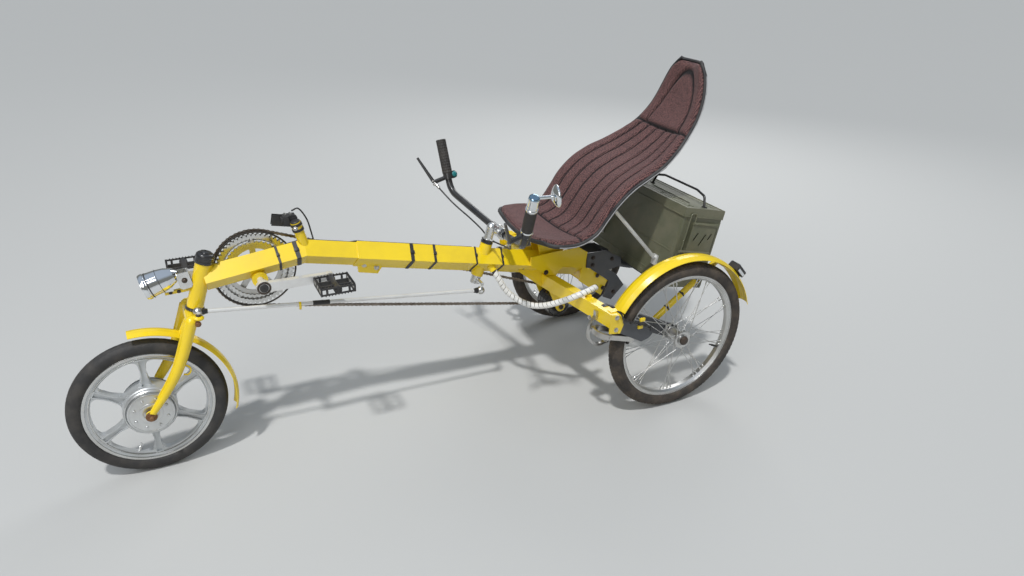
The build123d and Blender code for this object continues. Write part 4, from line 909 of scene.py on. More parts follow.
def web_outline(base_r, half_w, reach, sweep, sink):
    # A hollow corner beside a spoke, as (radius, angle from the spoke's middle)
    steps, curl = 8, 2.2
    start = math.asin(half_w / base_r)
    outline = [(base_r + sink, start + (sweep / base_r) * k / steps) for k in range(steps + 1)]
    for k in range(1, steps + 1):
        t = k / steps
        radius = base_r + reach * t ** curl
        width = half_w + sweep * (1 - t) ** curl
        outline.append((radius, math.asin(min(width / radius, 0.99))))
    outline.append((base_r + reach, math.asin((half_w - 3) / (base_r + reach))))
    return outline


def casting_trim():
    webs = Build()
    corners = [web_outline(146.5, 9.6, -25.0, 25.0, 2.0), web_outline(70.0, 12.6, 15.0, 15.0, -2.0)]
    half = 9.5
    for i in range(6):
        middle = math.radians(90 + 60 * i)
        for turn in (1, -1):
            for outline in corners:
                points = []
                for y in (-half, half):
                    points += [wheel_point(radius, middle + turn * a, y) for radius, a in outline]
                faces = plate_faces(len(outline))
                if turn < 0:
                    faces = [tuple(reversed(face)) for face in faces]
                webs.take(points, faces)
    webs.object("wheel_webs", CAST, "front_wheel", slot="cast_alloy", angle=35)
    lips = Build()
    centre = at(WHEELBASE, 0, FRONT_AXLE_Z)
    edge = [(158.5, 13.2), (159.5, 15.2), (162.5, 16.4), (166.5, 16.4), (168.2, 15.0), (168.2, 13.0)]
    groove = [(149.0, 8.6), (150.0, 10.8), (152.0, 11.6), (154.0, 10.6), (154.6, 8.8)]
    face_rings(lips, centre, (edge, groove), 160)
    lips.object("wheel_lips", ALLOY, "front_wheel", slot="cast_alloy", angle=40)


def motor_trim():
    hub = Build()
    centre = at(WHEELBASE, 0, FRONT_AXLE_Z)
    collar = [(19, 42), (19, 45.5), (22, 46.6), (27, 46.6), (30, 45.2), (31, 42)]
    inner_rib = [(54.5, 42), (55.2, 44.4), (57.0, 45.0), (59.0, 44.2), (59.8, 42)]
    outer_rib = [(63.0, 34), (63.6, 37.6), (66.0, 38.2), (68.5, 35.4), (69.4, 31)]
    face_rings(hub, centre, (collar,), 64)
    face_rings(hub, centre, (inner_rib, outer_rib), 80)
    screw = [(0, 0), (4.3, 0), (4.3, 2.0), (3.4, 3.2), (1.9, 3.2), (1.9, 1.6), (0, 1.6)]
    screw_circle, screw_count = 44, 8
    for s in (1, -1):
        for k in range(screw_count):
            place = wheel_point(screw_circle, 2 * math.pi * (k + 0.5) / screw_count, s * 43)
            hub.lathe(place, (0, s, 0), screw, 16)
    hub.object("motor_trim", MOTOR, "front_wheel", slot="cast_alloy", angle=40)
    valve = Build()
    a = math.radians(-70)
    valve.lathe(wheel_point(122, a, 0), (math.cos(a), 0, math.sin(a)),
                [(0, 0), (2.4, 0), (2.8, 2), (2.8, 9), (3.9, 10), (3.9, 26), (0, 26)], 16)
    valve.object("front_valve", FORGED, "front_wheel", slot="steel", angle=40)


casting_trim()
motor_trim()


# Rear wheels: nipples, rim lines, caps, hub shells and valves
def spoke_ends(side, s):
    # A nipple at the rim and a head at the flange for each crossed spoke
    work = Build()
    nipple = [(0, 0), (3.0, 0), (3.0, 2.4), (1.9, 3.2), (1.9, 13), (1.3, 14), (0, 14)]
    spokes, hub_r, rim_r, cross = 36, 24, 195.6, math.radians(52)
    for i in range(spokes):
        outer, couple = i % 2, i // 2
        lean = 1 if couple % 2 else -1
        root_angle = math.radians(360 / (spokes / 2) * couple + outer * 10)
        tip_angle = root_angle + lean * cross
        flange = 368.0 if outer else 312.0
        root = at(hub_r * math.cos(root_angle), s * (flange + lean * 1.5),
                  REAR_AXLE_Z + hub_r * math.sin(root_angle))
        tip = at(rim_r * math.cos(tip_angle), s * (HALF_TRACK + (3 if outer else -3)),
                 REAR_AXLE_Z + rim_r * math.sin(tip_angle))
        back = (root - tip).normalized()
        work.lathe(tip - back * 0.002, back, nipple, 10)
        work.lathe(root - back * 0.001, (0, 1, 0), [(0, -3.4), (2.1, -3.4), (2.1, 3.4), (0, 3.4)], 8)
    work.object(f"spoke_nipples_{side}", ALLOY, f"rear_wheel_{side}", slot="steel", angle=40)


def rear_trim(side, s):
    spoke_ends(side, s)
    rim = Build()
    centre = at(0, s * HALF_TRACK, REAR_AXLE_Z)
    line = [(203.6, 12.6), (204.2, 13.5), (205.2, 13.5), (205.8, 12.6)]
    lip = [(208.6, 12.4), (209.2, 14.3), (211.4, 14.6), (212.4, 13.0), (211.4, 12.2)]
    face_rings(rim, centre, (line, lip), 180)
    rim.object(f"rim_lines_{side}", ALLOY, f"rear_wheel_{side}", slot="cast_alloy", angle=40)
    cap = Build()
    cap.lathe(at(0, s * 376, REAR_AXLE_Z), (0, s, 0), [(0, 0), (14.6, 0), (14.6, 3.2), (13.6, 4.6),
                                                       (13.6, 6.4), (11.0, 8.8), (6.0, 9.6), (0, 9.8)],
              40)
    cap.object(f"hub_cap_{side}", CAP_BROWN, f"rear_wheel_{side}", slot="black_metal", angle=40)
    flange = Build()
    for y in (308.0, 313.6, 364.4, 372.2):
        flange.lathe(at(0, s * y, REAR_AXLE_Z), (0, s, 0),
                     [(17, -0.6), (20, 0.4), (27, 0.4), (29.3, -0.6)], 48, closed=True)
    flange.lathe(at(0, s * 340, REAR_AXLE_Z), (0, s, 0),
                 [(17.4, -24), (18.6, -20), (17.6, -12), (17.4, 12), (18.6, 20), (17.4, 24)], 40,
                 closed=True)
    flange.object(f"hub_shell_{side}", SATIN_ALLOY, f"rear_wheel_{side}", slot="cast_alloy", angle=40)
    valve = Build()
    a = math.radians(205)
    out = Vector((math.cos(a), 0, math.sin(a)))
    valve.lathe(centre + out * 0.160, out, [(0, 0), (2.2, 0), (2.6, 2), (2.6, 10), (3.4, 11), (3.4, 37),
                                            (0, 37)], 14)
    valve.object(f"rear_valve_{side}", CABLE, f"rear_wheel_{side}", slot="black_plastic", angle=40)


for side, s in SIDES:
    rear_trim(side, s)


# Rear frame: brakes, stays, lamps and bolts
def rear_bolts(side, s):
    bolts = Build()
    for z in (386, 346):
        bolts.bolt(at(262, s * 376, z), (0, s, 0), 4.4, 4.6, 7.4)
    bolts.bolt(at(0, s * 290, REAR_AXLE_Z), (0, -s, 0), 9.0, 4.6, 12.0)
    for face in (1, -1):
        bolts.bolt(at(278, s * (HALF_TRACK + face * 33.6), 321), (0, face * s, 0), 5.4, 6.0, 8.6)
    bolts.bolt(at(304, s * 296, 358), (1, 0, 0.1), 5.0, 5.0, 7.5)
    bolts.bolt(at(240, s * 302, 266), (0, s, 0), 4.6, 4.6, 7.0)
    bolts.object(f"rear_bolts_{side}", STEEL, "frame", slot="steel", angle=40)


def brake_trim(side, s):
    pads = Build()
    out = Vector((197, 0, 46)).normalized()
    for face in (1, -1):
        place = local_frame(at(197, s * (HALF_TRACK + face * 17.6), 296), (-out.z, 0, out.x), (0, 1, 0))
        pads.block(place, (6.5, 9.5, 46), 2.0)
    pads.object(f"brake_pads_{side}", RUBBER, "frame", slot="rubber", angle=40)
    lugs = Build()
    for x, z in ((170, 361), (176, 338)):
        lugs.block(local_frame(at(x, s * 377.4, z), (0, 0, 1), (0, 1, 0)), (7.6, 17, 11), 1.6)
    lugs.object(f"cable_lugs_{side}", PAINT, "frame", slot="frame_paint", angle=40)
    noodle = Build()
    line = smooth_path([at(x, s * y, z) for x, y, z in BRAKE_NOODLE], 8)
    noodle.tube(line, 2.6, 10)
    for i in (18, 24, 31, 37, 44):
        noodle.lathe(line[i], line[i + 1] - line[i - 1], [(0, -4.2), (4.6, -4.2), (5.2, -2.8), (5.2, 2.8),
                                                          (4.6, 4.2), (0, 4.2)], 8)
    noodle.object(f"brake_noodle_{side}", CABLE, "frame", slot="black_plastic", angle=40)


def stay_trim(side, s):
    low, high = at(52, s * 278, 283), at(-160, s * 299.7, 467)
    along = (high - low).normalized()
    ties = Build()
    for share in (0.22, 0.45, 0.68, 0.88):
        place = low.lerp(high, share)
        ties.lathe(place, along, [(10.0, -2.6), (11.2, -2.0), (11.2, 2.0), (10.0, 2.6)], 24, closed=True)
        ties.block(local_frame(place + mm(4, s * 9.5, 6), along), (5, 5.5, 6), 0.8)
    ties.object(f"stay_ties_{side}", BLACK_PLASTIC, "frame", slot="black_plastic", angle=40)
    ends = Build()
    ends.bolt(at(52, s * 269, 279), (0, -s, 0), 5.6, 5.0, 9.0)
    ends.object(f"stay_bolts_{side}", STEEL, "frame", slot="steel", angle=40)


def quarter(place, k, *offset):
    return place @ Matrix.Rotation(math.radians(90 * k), 4, "Z") @ Matrix.Translation(mm(*offset))


def tail_lamp_trim(side, s):
    angle = math.radians(TAIL_LAMP_ANGLE)
    out = Vector((math.cos(angle), 0, math.sin(angle)))
    place = local_frame(at(TAIL_LAMP_R * out.x, s * HALF_TRACK, REAR_AXLE_Z + TAIL_LAMP_R * out.z), out)
    lens = Build()
    lens.block(place @ Matrix.Translation(mm(0, 0, 9.6)), (33, 39, 6), 2.4)
    lens.object(f"tail_lens_{side}", RED_LENS, "frame", slot="lens", angle=40)
    rim = Build()
    for k in range(4):
        reach, width = (20.6, 37) if k % 2 else (17.8, 43)
        rim.block(quarter(place, k, reach, 0, 10.0), (2.6, width, 4.2), 0.9)
    for k in range(5):
        rim.block(place @ Matrix.Translation(mm(0, -16 + 8 * k, 12.9)), (29, 1.6, 1.4), 0.4)
    for k in range(4):
        reach, width = (20.4, 38) if k % 2 else (23.4, 34)
        rim.block(quarter(place, k, reach, 0, -3.5), (1.6, width, 9), 0.6)
    rim.object(f"tail_rim_{side}", CHROME, "frame", slot="lamp_chrome", angle=40)


for side, s in SIDES:
    rear_bolts(side, s)
    brake_trim(side, s)
    stay_trim(side, s)
    tail_lamp_trim(side, s)


def mid_trim():
    work = Build()
    for s, y in ((1, 50), (-1, -60)):
        work.bolt(at(MID_HUB[0], y, MID_HUB[1]), (0, s, 0), 9.0, 8.0, 13.0)
    for s in (1, -1):
        for x, y, z in ((304, 16, 372), (388, 16, 424), (320, 35.8, 452), (232, 35.8, 452), (196, 35.8, 420),
                        (318, 42.8, 404)):
            work.bolt(at(x, s * y, z), (0, s, 0), 5.5, 5.0, 8.5)
        for x, z in ((64, 408), (48, 282), (140, 424), (140, 398), (118, 356), (92, 305)):
            work.bolt(at(x, s * 41.8, z), (0, s, 0), 5.0, 4.6, 7.8)
        for x, z in ((342, 520), (252, 520)):
            work.bolt(at(x, s * 30, z), (0, s, 0), 4.6, 4.2, 7.0)
    work.object("middle_bolts", CAP_BROWN, "frame", slot="steel", angle=40)
    drum = Build()
    for y in (-33, -18, 0, 18, 33):
        drum.lathe(at(MID_HUB[0], y, MID_HUB[1]), (0, 1, 0),
                   [(39.5, -1.6), (41.3, -1.0), (41.3, 1.0), (39.5, 1.6)], 64, closed=True)
    drum.lathe(at(MID_HUB[0], 40, MID_HUB[1]), (0, 1, 0), [(14, 0), (36, 0), (34, 3), (18, 5), (14, 5)],
               48, closed=True)
    drum.object("drum_ribs", GLOSS_BLACK, "frame", slot="black_metal", angle=40)


mid_trim()


# Cranks and rings
def toothed_ring(work, centre, teeth, root_r, tip_r, inner_r):
    # A flat ring with a tooth outside and a scallop inside at each step
    steps = teeth * 4
    points = []
    for y in (-1.0, 1.0):
        for i in range(steps):
            a = 2 * math.pi * i / steps
            outer = (root_r, tip_r - 1.5, tip_r, tip_r - 1.5)[i % 4]
            inner = (inner_r, inner_r + 1.6, inner_r + 2.6, inner_r + 1.6)[i % 4]
            for r in (inner, outer):
                points.append(centre + mm(r * math.cos(a), y, r * math.sin(a)))
    faces = []
    n = 2 * steps
    for i in range(steps):
        a, b = 2 * i, 2 * ((i + 1) % steps)
        faces.append((a, b, b + 1, a + 1))
        faces.append((n + a, n + a + 1, n + b + 1, n + b))
        faces.append((a + 1, b + 1, n + b + 1, n + a + 1))
        faces.append((b, a, n + a, n + b))
    work.take(points, faces)


def crank_trim():
    x, z = CRANK_AXLE
    caps = Build()
    collars = Build()
    for s in (1, -1):
        caps.lathe(at(x, s * 92, z), (0, s, 0),
                   [(0, 0), (11.5, 0), (11.5, 1.6), (10.4, 2.6), (3.2, 2.8), (3.2, 1.6), (0, 1.6)], 32)
        collars.lathe(at(x, s * 90.6, z), (0, s, 0),
                      [(13, 0), (18.4, 0), (18.8, 1.2), (17.6, 2.4), (13, 2.4)], 48, closed=True)
        collars.lathe(at(x - s * CRANK_L, s * 74, z), (0, s, 0),
                      [(0, 0), (7.5, 0), (7.5, 2), (4, 2), (4, 1), (0, 1)], 6)
    caps.object("crank_caps", BLACK_PLASTIC, "cranks", slot="black_plastic", angle=40)
    collars.object("crank_collars", CAP_BROWN, "cranks", slot="cast_alloy", angle=40)
    toothed = Build()
    for y, teeth, root_r, tip_r, low in ((-41.4, RING_TEETH, 98.5, 106.0, 90.0),
                                         (-39.4, SMALL_RING_TEETH, 80.0, 86.0, 74.0)):
        toothed_ring(toothed, at(x, y, z), teeth, root_r, tip_r, low)
    toothed.object("toothed_rings", ALLOY, "cranks", slot="steel", angle=35)
    guard = Build()
    rim = [(108, -0.8), (108.6, -1.6), (111.5, -1.6), (112.8, -0.8)]
    rim += [(radius, -height) for radius, height in reversed(rim)]
    guard.lathe(at(x, -42.5, z), (0, 1, 0), rim, 128, closed=True)
    guard.object("ring_guard", RING_BLACK, "cranks", slot="black_metal", angle=40)
    bolts = Build()
    bolt_circle, bolt_count = 84, 5
    for i in range(bolt_count):
        a = math.radians(90) + 2 * math.pi * i / bolt_count
        u, v = x + bolt_circle * math.cos(a), z + bolt_circle * math.sin(a)
        bolts.lathe(at(u, -42, v), (0, 1, 0), [(0, 0), (7.0, 0), (7.0, 2), (6, 3.2), (3, 3.2), (3, 1.8),
                                               (0, 1.8)], 20)
        bolts.lathe(at(u, -59, v), (0, -1, 0), [(0, 0), (6.4, 0), (6.4, 1.4), (5.4, 2.4), (0, 2.4)], 20)
    bolts.object("ring_bolts", STEEL, "cranks", slot="steel", angle=40)


def pedal_piece(side, s):
    x, z = CRANK_AXLE[0] - s * CRANK_L, CRANK_AXLE[1]
    frame_at = Matrix.Translation(at(x, s * PEDAL_MIDDLE_Y, z))
    work = Build()

    def bar(place, size, chamfer):
        work.block(frame_at @ Matrix.Translation(mm(*place)), size, chamfer)

    for e in (1, -1):
        for h in (-8.6, 8.6):
            bar((e * 44.6, 0, h), (5.0, 85, 4.6), 1.6)
            bar((0, e * 39.8, h), (88, 5.0, 4.6), 1.6)
        for k in (-40.5, -13, 13, 40.5):
            bar((e * 44.6, k, 0), (4.6, 5, 17), 1.4)
        for k in (-30, 0, 30):
            bar((k, e * 39.8, 0), (6, 4.6, 17), 1.4)
        for h in (-10.6, 10.6):
            for k in range(13):
                bar((e * 44.2, -38 + k * 76 / 12, h), (5.4, 2.4, 4.4), 0.6)
            for k in range(9):
                bar((-34 + k * 8.5, e * 39.6, h), (2.6, 5.6, 4.2), 0.6)
        for k in (-14, 14):
            bar((e * 24, k, 0), (34, 4.6, 12), 1.2)
    work.lathe(at(x, s * 92.6, z), (0, s, 0), [(5.2, 0), (9.5, 0), (11.0, 3), (11.0, 14), (9.0, 18),
                                               (9.0, 70), (11.0, 74), (11.0, 86), (8.5, 88.5),
                                               (3.5, 88.5), (3.5, 86.5), (0, 86.5)], 32)
    made = work.object(f"pedal_cage_{side}", BLACK_PLASTIC, f"pedal_{side}", slot="black_plastic", angle=40)
    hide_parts(f"pedal_{side}")
    panel = Build()
    for e in (1, -1):
        place = frame_at @ Matrix.Translation(mm(e * 44.4, 0, 0))
        panel.block(place, (2.6, 76, 11.6), 0.6)
        for k in range(8):
            panel.block(place @ Matrix.Translation(mm(e * 0.8, -31.5 + 9 * k, 0)), (2.2, 1.2, 11.0), 0.4)
    panel.object(f"pedal_panel_{side}", PEDAL_GREY, f"pedal_{side}", slot="black_plastic", angle=40)


crank_trim()
for side, s in SIDES:
    pedal_piece(side, s)


# Bars: grips, rings, mirror, button, bolts and adjusters
def bar_end(s):
    # The bar's end and the direction from it along the grip
    top, low = (at(x, s * y, z) for x, y, z in (GRIP_TOP, GRIP_FOOT))
    return top, (low - top).normalized()


def grip_radius(h, length, share, ribbed):
    # The sleeve's radius at a height and a share of a turn: ribs on one grip, dimples on the other
    edge = min(h, length - h)
    if edge < 5:
        return 16.5 if edge > 1 else 15.6
    radius = 16.3
    if ribbed:
        radius -= 0.9 if (h % 5.2) < 1.5 else 0.0
        radius -= 0.5 if 0.42 < (share * 24) % 1.0 < 0.58 else 0.0
        return radius
    lane = h / 9.0
    cell = math.floor(lane)
    u = (share * 14 + 0.5 * (cell % 2)) % 1.0 - 0.5
    v = lane - cell - 0.5
    return radius - 1.3 if (u / 0.30) ** 2 + (v / 0.34) ** 2 < 1 else radius


def grip_piece(side, s):
    top, down = bar_end(s)
    begin, length = (30.0, 82.0) if s > 0 else (0.0, 112.0)
    bore = 11.1
    side_axis = down.orthogonal().normalized()
    other = down.cross(side_axis)
    steps, rows = 72, int(length / 0.9)
    points = []

    def ring_point(h, k, radius):
        out = around(side_axis, other, 2 * math.pi * k / steps)
        points.append(top + down * (begin + h) / 1000 + out * radius / 1000)

    for i in range(rows + 1):
        h = length * i / rows
        for k in range(steps):
            ring_point(h, k, grip_radius(h, length, k / steps, s > 0))
    base = len(points)
    for h in (0, length):
        for k in range(steps):
            ring_point(h, k, bore)
    faces = ring_faces(rows + 1, steps)
    for k in range(steps):
        m = (k + 1) % steps
        faces.append((k, base + k, base + m, m))
        faces.append((rows * steps + m, base + steps + m, base + steps + k, rows * steps + k))
        faces.append((base + m, base + k, base + steps + k, base + steps + m))
    made = from_data(f"grip_sleeve_{side}", points, faces, RUBBER, "handlebar_set", slot="rubber", angle=50)
    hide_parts(f"grip_{side}")


def grip_rings():
    # Chrome rings round the left grip and the cap on its end
    top, down = bar_end(1)
    chrome = Build()
    for h in (27.6, 107.5):
        chrome.lathe(top + down * h / 1000, down, [(11.2, 0), (17.0, 0), (17.5, 1.2), (17.5, 4.4),
                                                   (16.8, 5.6), (11.2, 5.6)], 48, closed=True)
    chrome.lathe(top, down, [(15.3, -6.5), (16.0, -5.5), (16.0, -2.5), (15.3, -1.5)], 48, closed=True)
    chrome.lathe(top, down, [(15.3, 17), (16.1, 18), (16.1, 21), (15.3, 22)], 48, closed=True)
    chrome.object("grip_rings", CHROME, "handlebar_set", slot="lamp_chrome", angle=40)
    blue = Build()
    blue.lathe(top - down * 0.0079, -down, [(0, 0), (14.6, 0), (15.0, 1.4), (14.4, 3.4), (11.8, 5.2),
                                            (7.5, 6.4), (0, 6.9)], 48)
    blue.object("bar_end_cap", BLUE_CHROME, "handlebar_set", slot="lamp_chrome", angle=50)


def mirror_trim():
    hub = at(470, 346, 778)
    aim = Vector((1, -0.25, -0.1)).normalized()
    disc = Build()
    disc.lathe(hub, aim, [(0, 13.4), (5.5, 13.2), (9, 12.0), (12.5, 11.6), (19, 8.6), (25.5, 4.4),
                          (29.6, 0.6), (30.9, -1.4), (31.0, -4.0), (30.0, -5.2), (28.6, -4.6)], 64)
    disc.object("mirror_shell", CHROME, "handlebar_set", slot="lamp_chrome", angle=50)
    glass = Build()
    glass.lathe(hub - aim * 0.0040, -aim, [(0, 0), (28.4, 0), (28.4, 0.5), (20, 1.3), (10, 1.8),
                                           (0, 2.0)], 64)
    glass.object("mirror_pane", MIRROR, "handlebar_set", slot="lamp_chrome", angle=50)


def button_trim():
    # The pod with its teal button on the right of the bars, and the ring at that grip's end
    aim = Vector((-0.30, 0.86, 0.42)).normalized()
    centre = at(505, -284, 661)
    pod = Build()
    pod.lathe(centre, aim, [(0, -6), (11, -6), (12.4, -4), (12.4, 6.5), (11.4, 8), (10, 8)], 40)
    top, down = bar_end(-1)
    pod.lathe(top + down * 0.1165, down, [(11.2, -5), (14.4, -5), (14.8, -3), (14.8, 3), (14.4, 5),
                                          (11.2, 5)], 40, closed=True)
    pod.block(local_frame(at(513, -284.5, 661), (1, 0, 0), aim), (9, 9, 14), 2)
    pod.object("button_pod", BLACK_PLASTIC, "handlebar_set", slot="black_plastic", angle=40)
    lens = Build()
    lens.lathe(centre + aim * 0.0076, aim, [(0, 0), (10.2, 0), (9.8, 1.8), (7.8, 3.6), (4.2, 4.8),
                                            (0, 5.2)], 40)
    lens.object("button_lens", TEAL, "handlebar_set", slot="black_plastic", angle=60)


def bar_fasteners():
    steel = Build()
    adjuster = [(0, 0), (3.4, 0), (4.8, 1), (4.8, 8), (3.8, 9), (5.4, 10), (5.4, 18), (4.6, 19.5),
                (4.6, 27), (0, 27)]
    for s in (1, -1):
        steel.bolt(at(574, s * 284, 645), (0.9, 0, 0.35), 4.4, 5.0, 6.4)
        steel.bolt(at(574, s * 278, 636), (0.3, -s * 0.8, -0.5), 3.6, 4.0, 5.2)
        start, inner = at(564, s * 267, 628), at(544, s * 233, 598)
        back = (start - inner).normalized()
        steel.lathe(start - back * 0.004, back, adjuster, 20)
        end, along = bar_end(s)
        steel.bolt(end + along * 0.1225 - mm(16.5, 0, 0), (-1, 0, 0), 3.6, 3.8, 5.0)
        steel.bolt(at(446, s * 12, 548), (-0.98, 0, -0.18), 3.8, 4.4, 5.4)
    steel.object("bar_fasteners", STEEL, "handlebar_set", slot="steel", angle=40)


def stem_trim():
    clamp = Build()
    rings = Build()
    foot_z = 522
    rings.lathe(at(tilted_x(STEM_ACROSS, foot_z), 0, foot_z), STEER_AXIS,
                [(12.4, 1.4), (18.6, 1.4), (19.4, 2.6), (19.4, 6.0), (18.2, 7.0), (18.2, 10.4),
                 (19.2, 11.4), (19.2, 13.4), (12.4, 13.8)], 48, closed=True)
    for s in (1, -1):
        clamp.lathe(at(464, -s * 20.4, 551), (0, s, 0), [(11.2, 0), (18.6, 0), (19.2, 1.4), (19.2, 4.0),
                                                         (18.4, 5.2)], 40)
        rings.tube(smooth_path([at(465, s * 20, 551.4), at(470, s * 50, 559.2)], 2), 13.0, 24)
    clamp.object("stem_faces", FORGED, "handlebar_set", slot="cast_alloy", angle=40)
    rings.object("stem_rings", GLOSS_BLACK, "handlebar_set", slot="black_metal", angle=40)


for side, s in SIDES:
    grip_piece(side, s)
grip_rings()
mirror_trim()
button_trim()
bar_fasteners()
stem_trim()


# Drag link: sleeve, nuts, tie and ball ends
def link_trim():
    front_z, rear_z, y = 485, 390, 52
    front = at(tilted_x(HEAD_ACROSS, front_z), y, front_z)
    rear = at(tilted_x(STEM_ACROSS, rear_z), y, rear_z)
    along = (front - rear).normalized()

    def on_link(x):
        return rear + along * ((at(x, 0, 0).x - rear.x) / along.x)

    dark = Build()
    dark.lathe(on_link(1023), along, [(5.6, 0), (6.8, 0.6), (6.8, 47), (5.6, 48)], 20, closed=True)
    for ball, sign in ((front, -1), (rear, 1)):
        dark.lathe(ball + along * sign * 0.0105, along * sign,
                   [(5.6, 0), (9.2, 0), (9.2, 4), (7.6, 8), (6.6, 13), (5.6, 14)], 6, closed=True)
    dark.object("link_sleeve", CABLE, "steering_link", slot="black_plastic", angle=40)
    yellow = Build()
    place = on_link(1106)
    yellow.lathe(place, along, [(5.5, -3.4), (6.6, -3.0), (6.6, 3.0), (5.5, 3.4)], 20, closed=True)
    yellow.block(local_frame(place + mm(0, 4, -9), along), (4, 12, 6.4), 1.0)
    yellow.object("link_tie", PAINT, "steering_link", slot="frame_paint", angle=40)
    boots = Build()
    for ball in (front, rear):
        boots.lathe(ball, (0, 1, 0), [(0, -9.4), (7.4, -9.2), (11.4, -5.6), (12.2, -2), (12.2, 2),
                                      (11.4, 5.6), (7.4, 9.2), (5.0, 10.4), (4.6, 9.2), (0, 9.2)], 32)
    boots.object("link_ends", STEEL, "steering_link", slot="steel", angle=40)


link_trim()


# Box fittings
BOX_AT = Matrix.Translation(at(BOX_FOOT[0], 0, BOX_FOOT[1])) @ Matrix.Rotation(-BOX_LEAN, 4, "Y")


def box_block(work, place, size, chamfer=0.6):
    work.block(BOX_AT @ Matrix.Translation(mm(*place)), size, chamfer)


def box_aim(*direction):
    return BOX_AT.to_3x3() @ Vector(direction)


def lid_trim():
    middle, depth, width = -BOX_D / 2, BOX_D + 6, BOX_W + 6
    seam = BOX_H - LID_H + 1.6
    lid = Build()
    for e in (1, -1):
        box_block(lid, (middle + e * (depth / 2 - 2.4), 0, BOX_H + 0.9), (4.6, width - 1.0, 2.6), 1.0)
        box_block(lid, (middle, e * (width / 2 - 2.4), BOX_H + 0.9), (depth - 1.0, 4.6, 2.6), 1.0)
        box_block(lid, (middle, e * (width / 2 + 0.7), seam), (depth - 2, 2.4, 3.6), 0.9)
        box_block(lid, (middle + e * (BOX_D / 2 + 3.6), 0, seam), (2.0, width - 2, 3.6), 0.8)
    for x in (-24, -44, -134):
        box_block(lid, (x, 0, BOX_H + 0.4), (6.0, BOX_W - 46, 1.8), 0.8)
    lid.object("lid_edges", OLIVE, "lid", slot="box_paint", angle=40)
    hooks = Build()
    for y in (196, 118, 60, -40, -150):
        box_block(hooks, (-34, y, BOX_H + 1.6), (13, 7, 3.2), 0.9)
        hooks.lathe(BOX_AT @ mm(-34, y, BOX_H + 2.6), box_aim(0, 0, 1),
                    [(0, 0), (2.6, 0), (2.6, 1.4), (1.8, 2.2), (0, 2.2)], 12)
    hooks.tube([BOX_AT @ mm(-60, y, BOX_H + 3.4) for y in range(-20, 171, 10)], 2.2, 10)
    hooks.object("lid_catches", STEEL_OLIVE, "lid", slot="box_paint", angle=40)


def box_trim():
    # Thin near-black plates on the latch plate: painted shade standing in for the depth of its slots
    slot_shades = Build()
    lean = Matrix.Rotation(math.radians(24), 4, "Y")
    for x, z, length in ((-64, -90, 30), (-95, -99, 44), (-122, -87, 26)):
        place = BOX_AT @ Matrix.Translation(mm(x, BOX_W / 2 + 5.0, BOX_H + z)) @ lean
        slot_shades.block(place, (12, 0.8, length + 4), 0.3)
    slot_shades.object("latch_slot_shades", SLOT_SHADE_PAINT, "frame", slot="box_paint", angle=40)
    shell = Build()
    for z in (26, 118):
        for x in (0.4, -BOX_D - 0.4):
            box_block(shell, (x, 0, z), (1.8, BOX_W - 34, 5.2), 0.8)
    for e in (1, -1):
        for x in (-4.2, -BOX_D + 4.2):
            box_block(shell, (x, e * (BOX_W / 2 + 0.2), 118), (9.5, 1.6, 222), 0.6)
        box_block(shell, (0.6, e * (BOX_W / 2 - 7), 118), (1.6, 13, 222), 0.7)
        box_block(shell, (-BOX_D / 2, e * (BOX_W / 2 + 0.3), 5), (BOX_D - 20, 1.8, 8), 0.6)
    shell.object("box_seams", OLIVE, "frame", slot="box_paint", angle=40)
    rivets = Build()
    for e in (1, -1):
        for x, z in ((-18, 104), (-18, 60), (-140, 104), (-140, 60), (-78, 28), (-40, 28), (-118, 28)):
            rivets.lathe(BOX_AT @ mm(x, e * BOX_W / 2, z), box_aim(0, e, 0),
                         [(0, 0), (4.0, 0), (3.4, 1.4), (1.8, 2.1), (0, 2.3)], 16)
    for y in range(-204, 205, 51):
        rivets.lathe(BOX_AT @ mm(0, y, 12), box_aim(1, 0, 0),
                     [(0, 0), (3.6, 0), (3.0, 1.3), (1.6, 1.9), (0, 2.1)], 16)
    rivets.object("box_rivets", OLIVE, "frame", slot="box_paint", angle=40)


lid_trim()
box_trim()


# Changer: clamp, bolts and cable
def changer_trim():
    foot, rise = Vector((1066, 0, 600)), Vector((20, 0, 76))
    up = rise.normalized()
    work = Build()
    for share in (0.72, 0.92):
        work.lathe(at(*(foot + rise * share)), up, [(14.2, -4), (16.2, -3.4), (16.2, 3.4), (14.2, 4)], 32,
                   closed=True)
    work.lathe(at(*(foot + rise)), up, [(0, 0), (13.4, 0), (13.4, 2.6), (11.8, 4.2), (0, 4.6)], 32)
    work.block(local_frame(at(1098, -23, 679), (1, 0, 0)), (22, 14, 44), 3)
    work.object("changer_clamp", BLACK_PLASTIC, "frame", slot="black_plastic", angle=40)
    steel = Build()
    steel.bolt(at(1070, -15.5, 662), (0, -1, 0), 4.4, 4.4, 6.6)
    steel.bolt(at(1090, 14.6, 663), (0, 1, 0), 4.4, 4.4, 6.6)
    for x in (1092, 1106):
        steel.lathe(at(x, -38, 690), (0, 1, 0), [(0, 0), (3.4, 0), (3.4, 18), (0, 18)], 14)
    steel.object("changer_bolts", STEEL, "frame", slot="steel", angle=40)
    cable = Build()
    cable.tube(smooth_path([at(*place) for place in CHANGER_CABLE], 8), 2.2, 10)
    cable.object("changer_cable", CABLE, "frame", slot="black_plastic")


changer_trim()


# Seat pad
SEAT_EDGE = [
    (398, 560, 150), (376, 556, 184), (330, 552, 197), (277, 552, 190), (223, 572, 182), (187, 616, 182),
    (155, 658, 186), (107, 700, 188), (52, 729, 187), (-12, 756, 175), (-70, 790, 156), (-114, 824, 139),
    (-152, 868, 127), (-175, 910, 118), (-190, 955, 107), (-201, 1004, 86), (-208, 1040, 52),
]
SEAT_DISH = 22.0
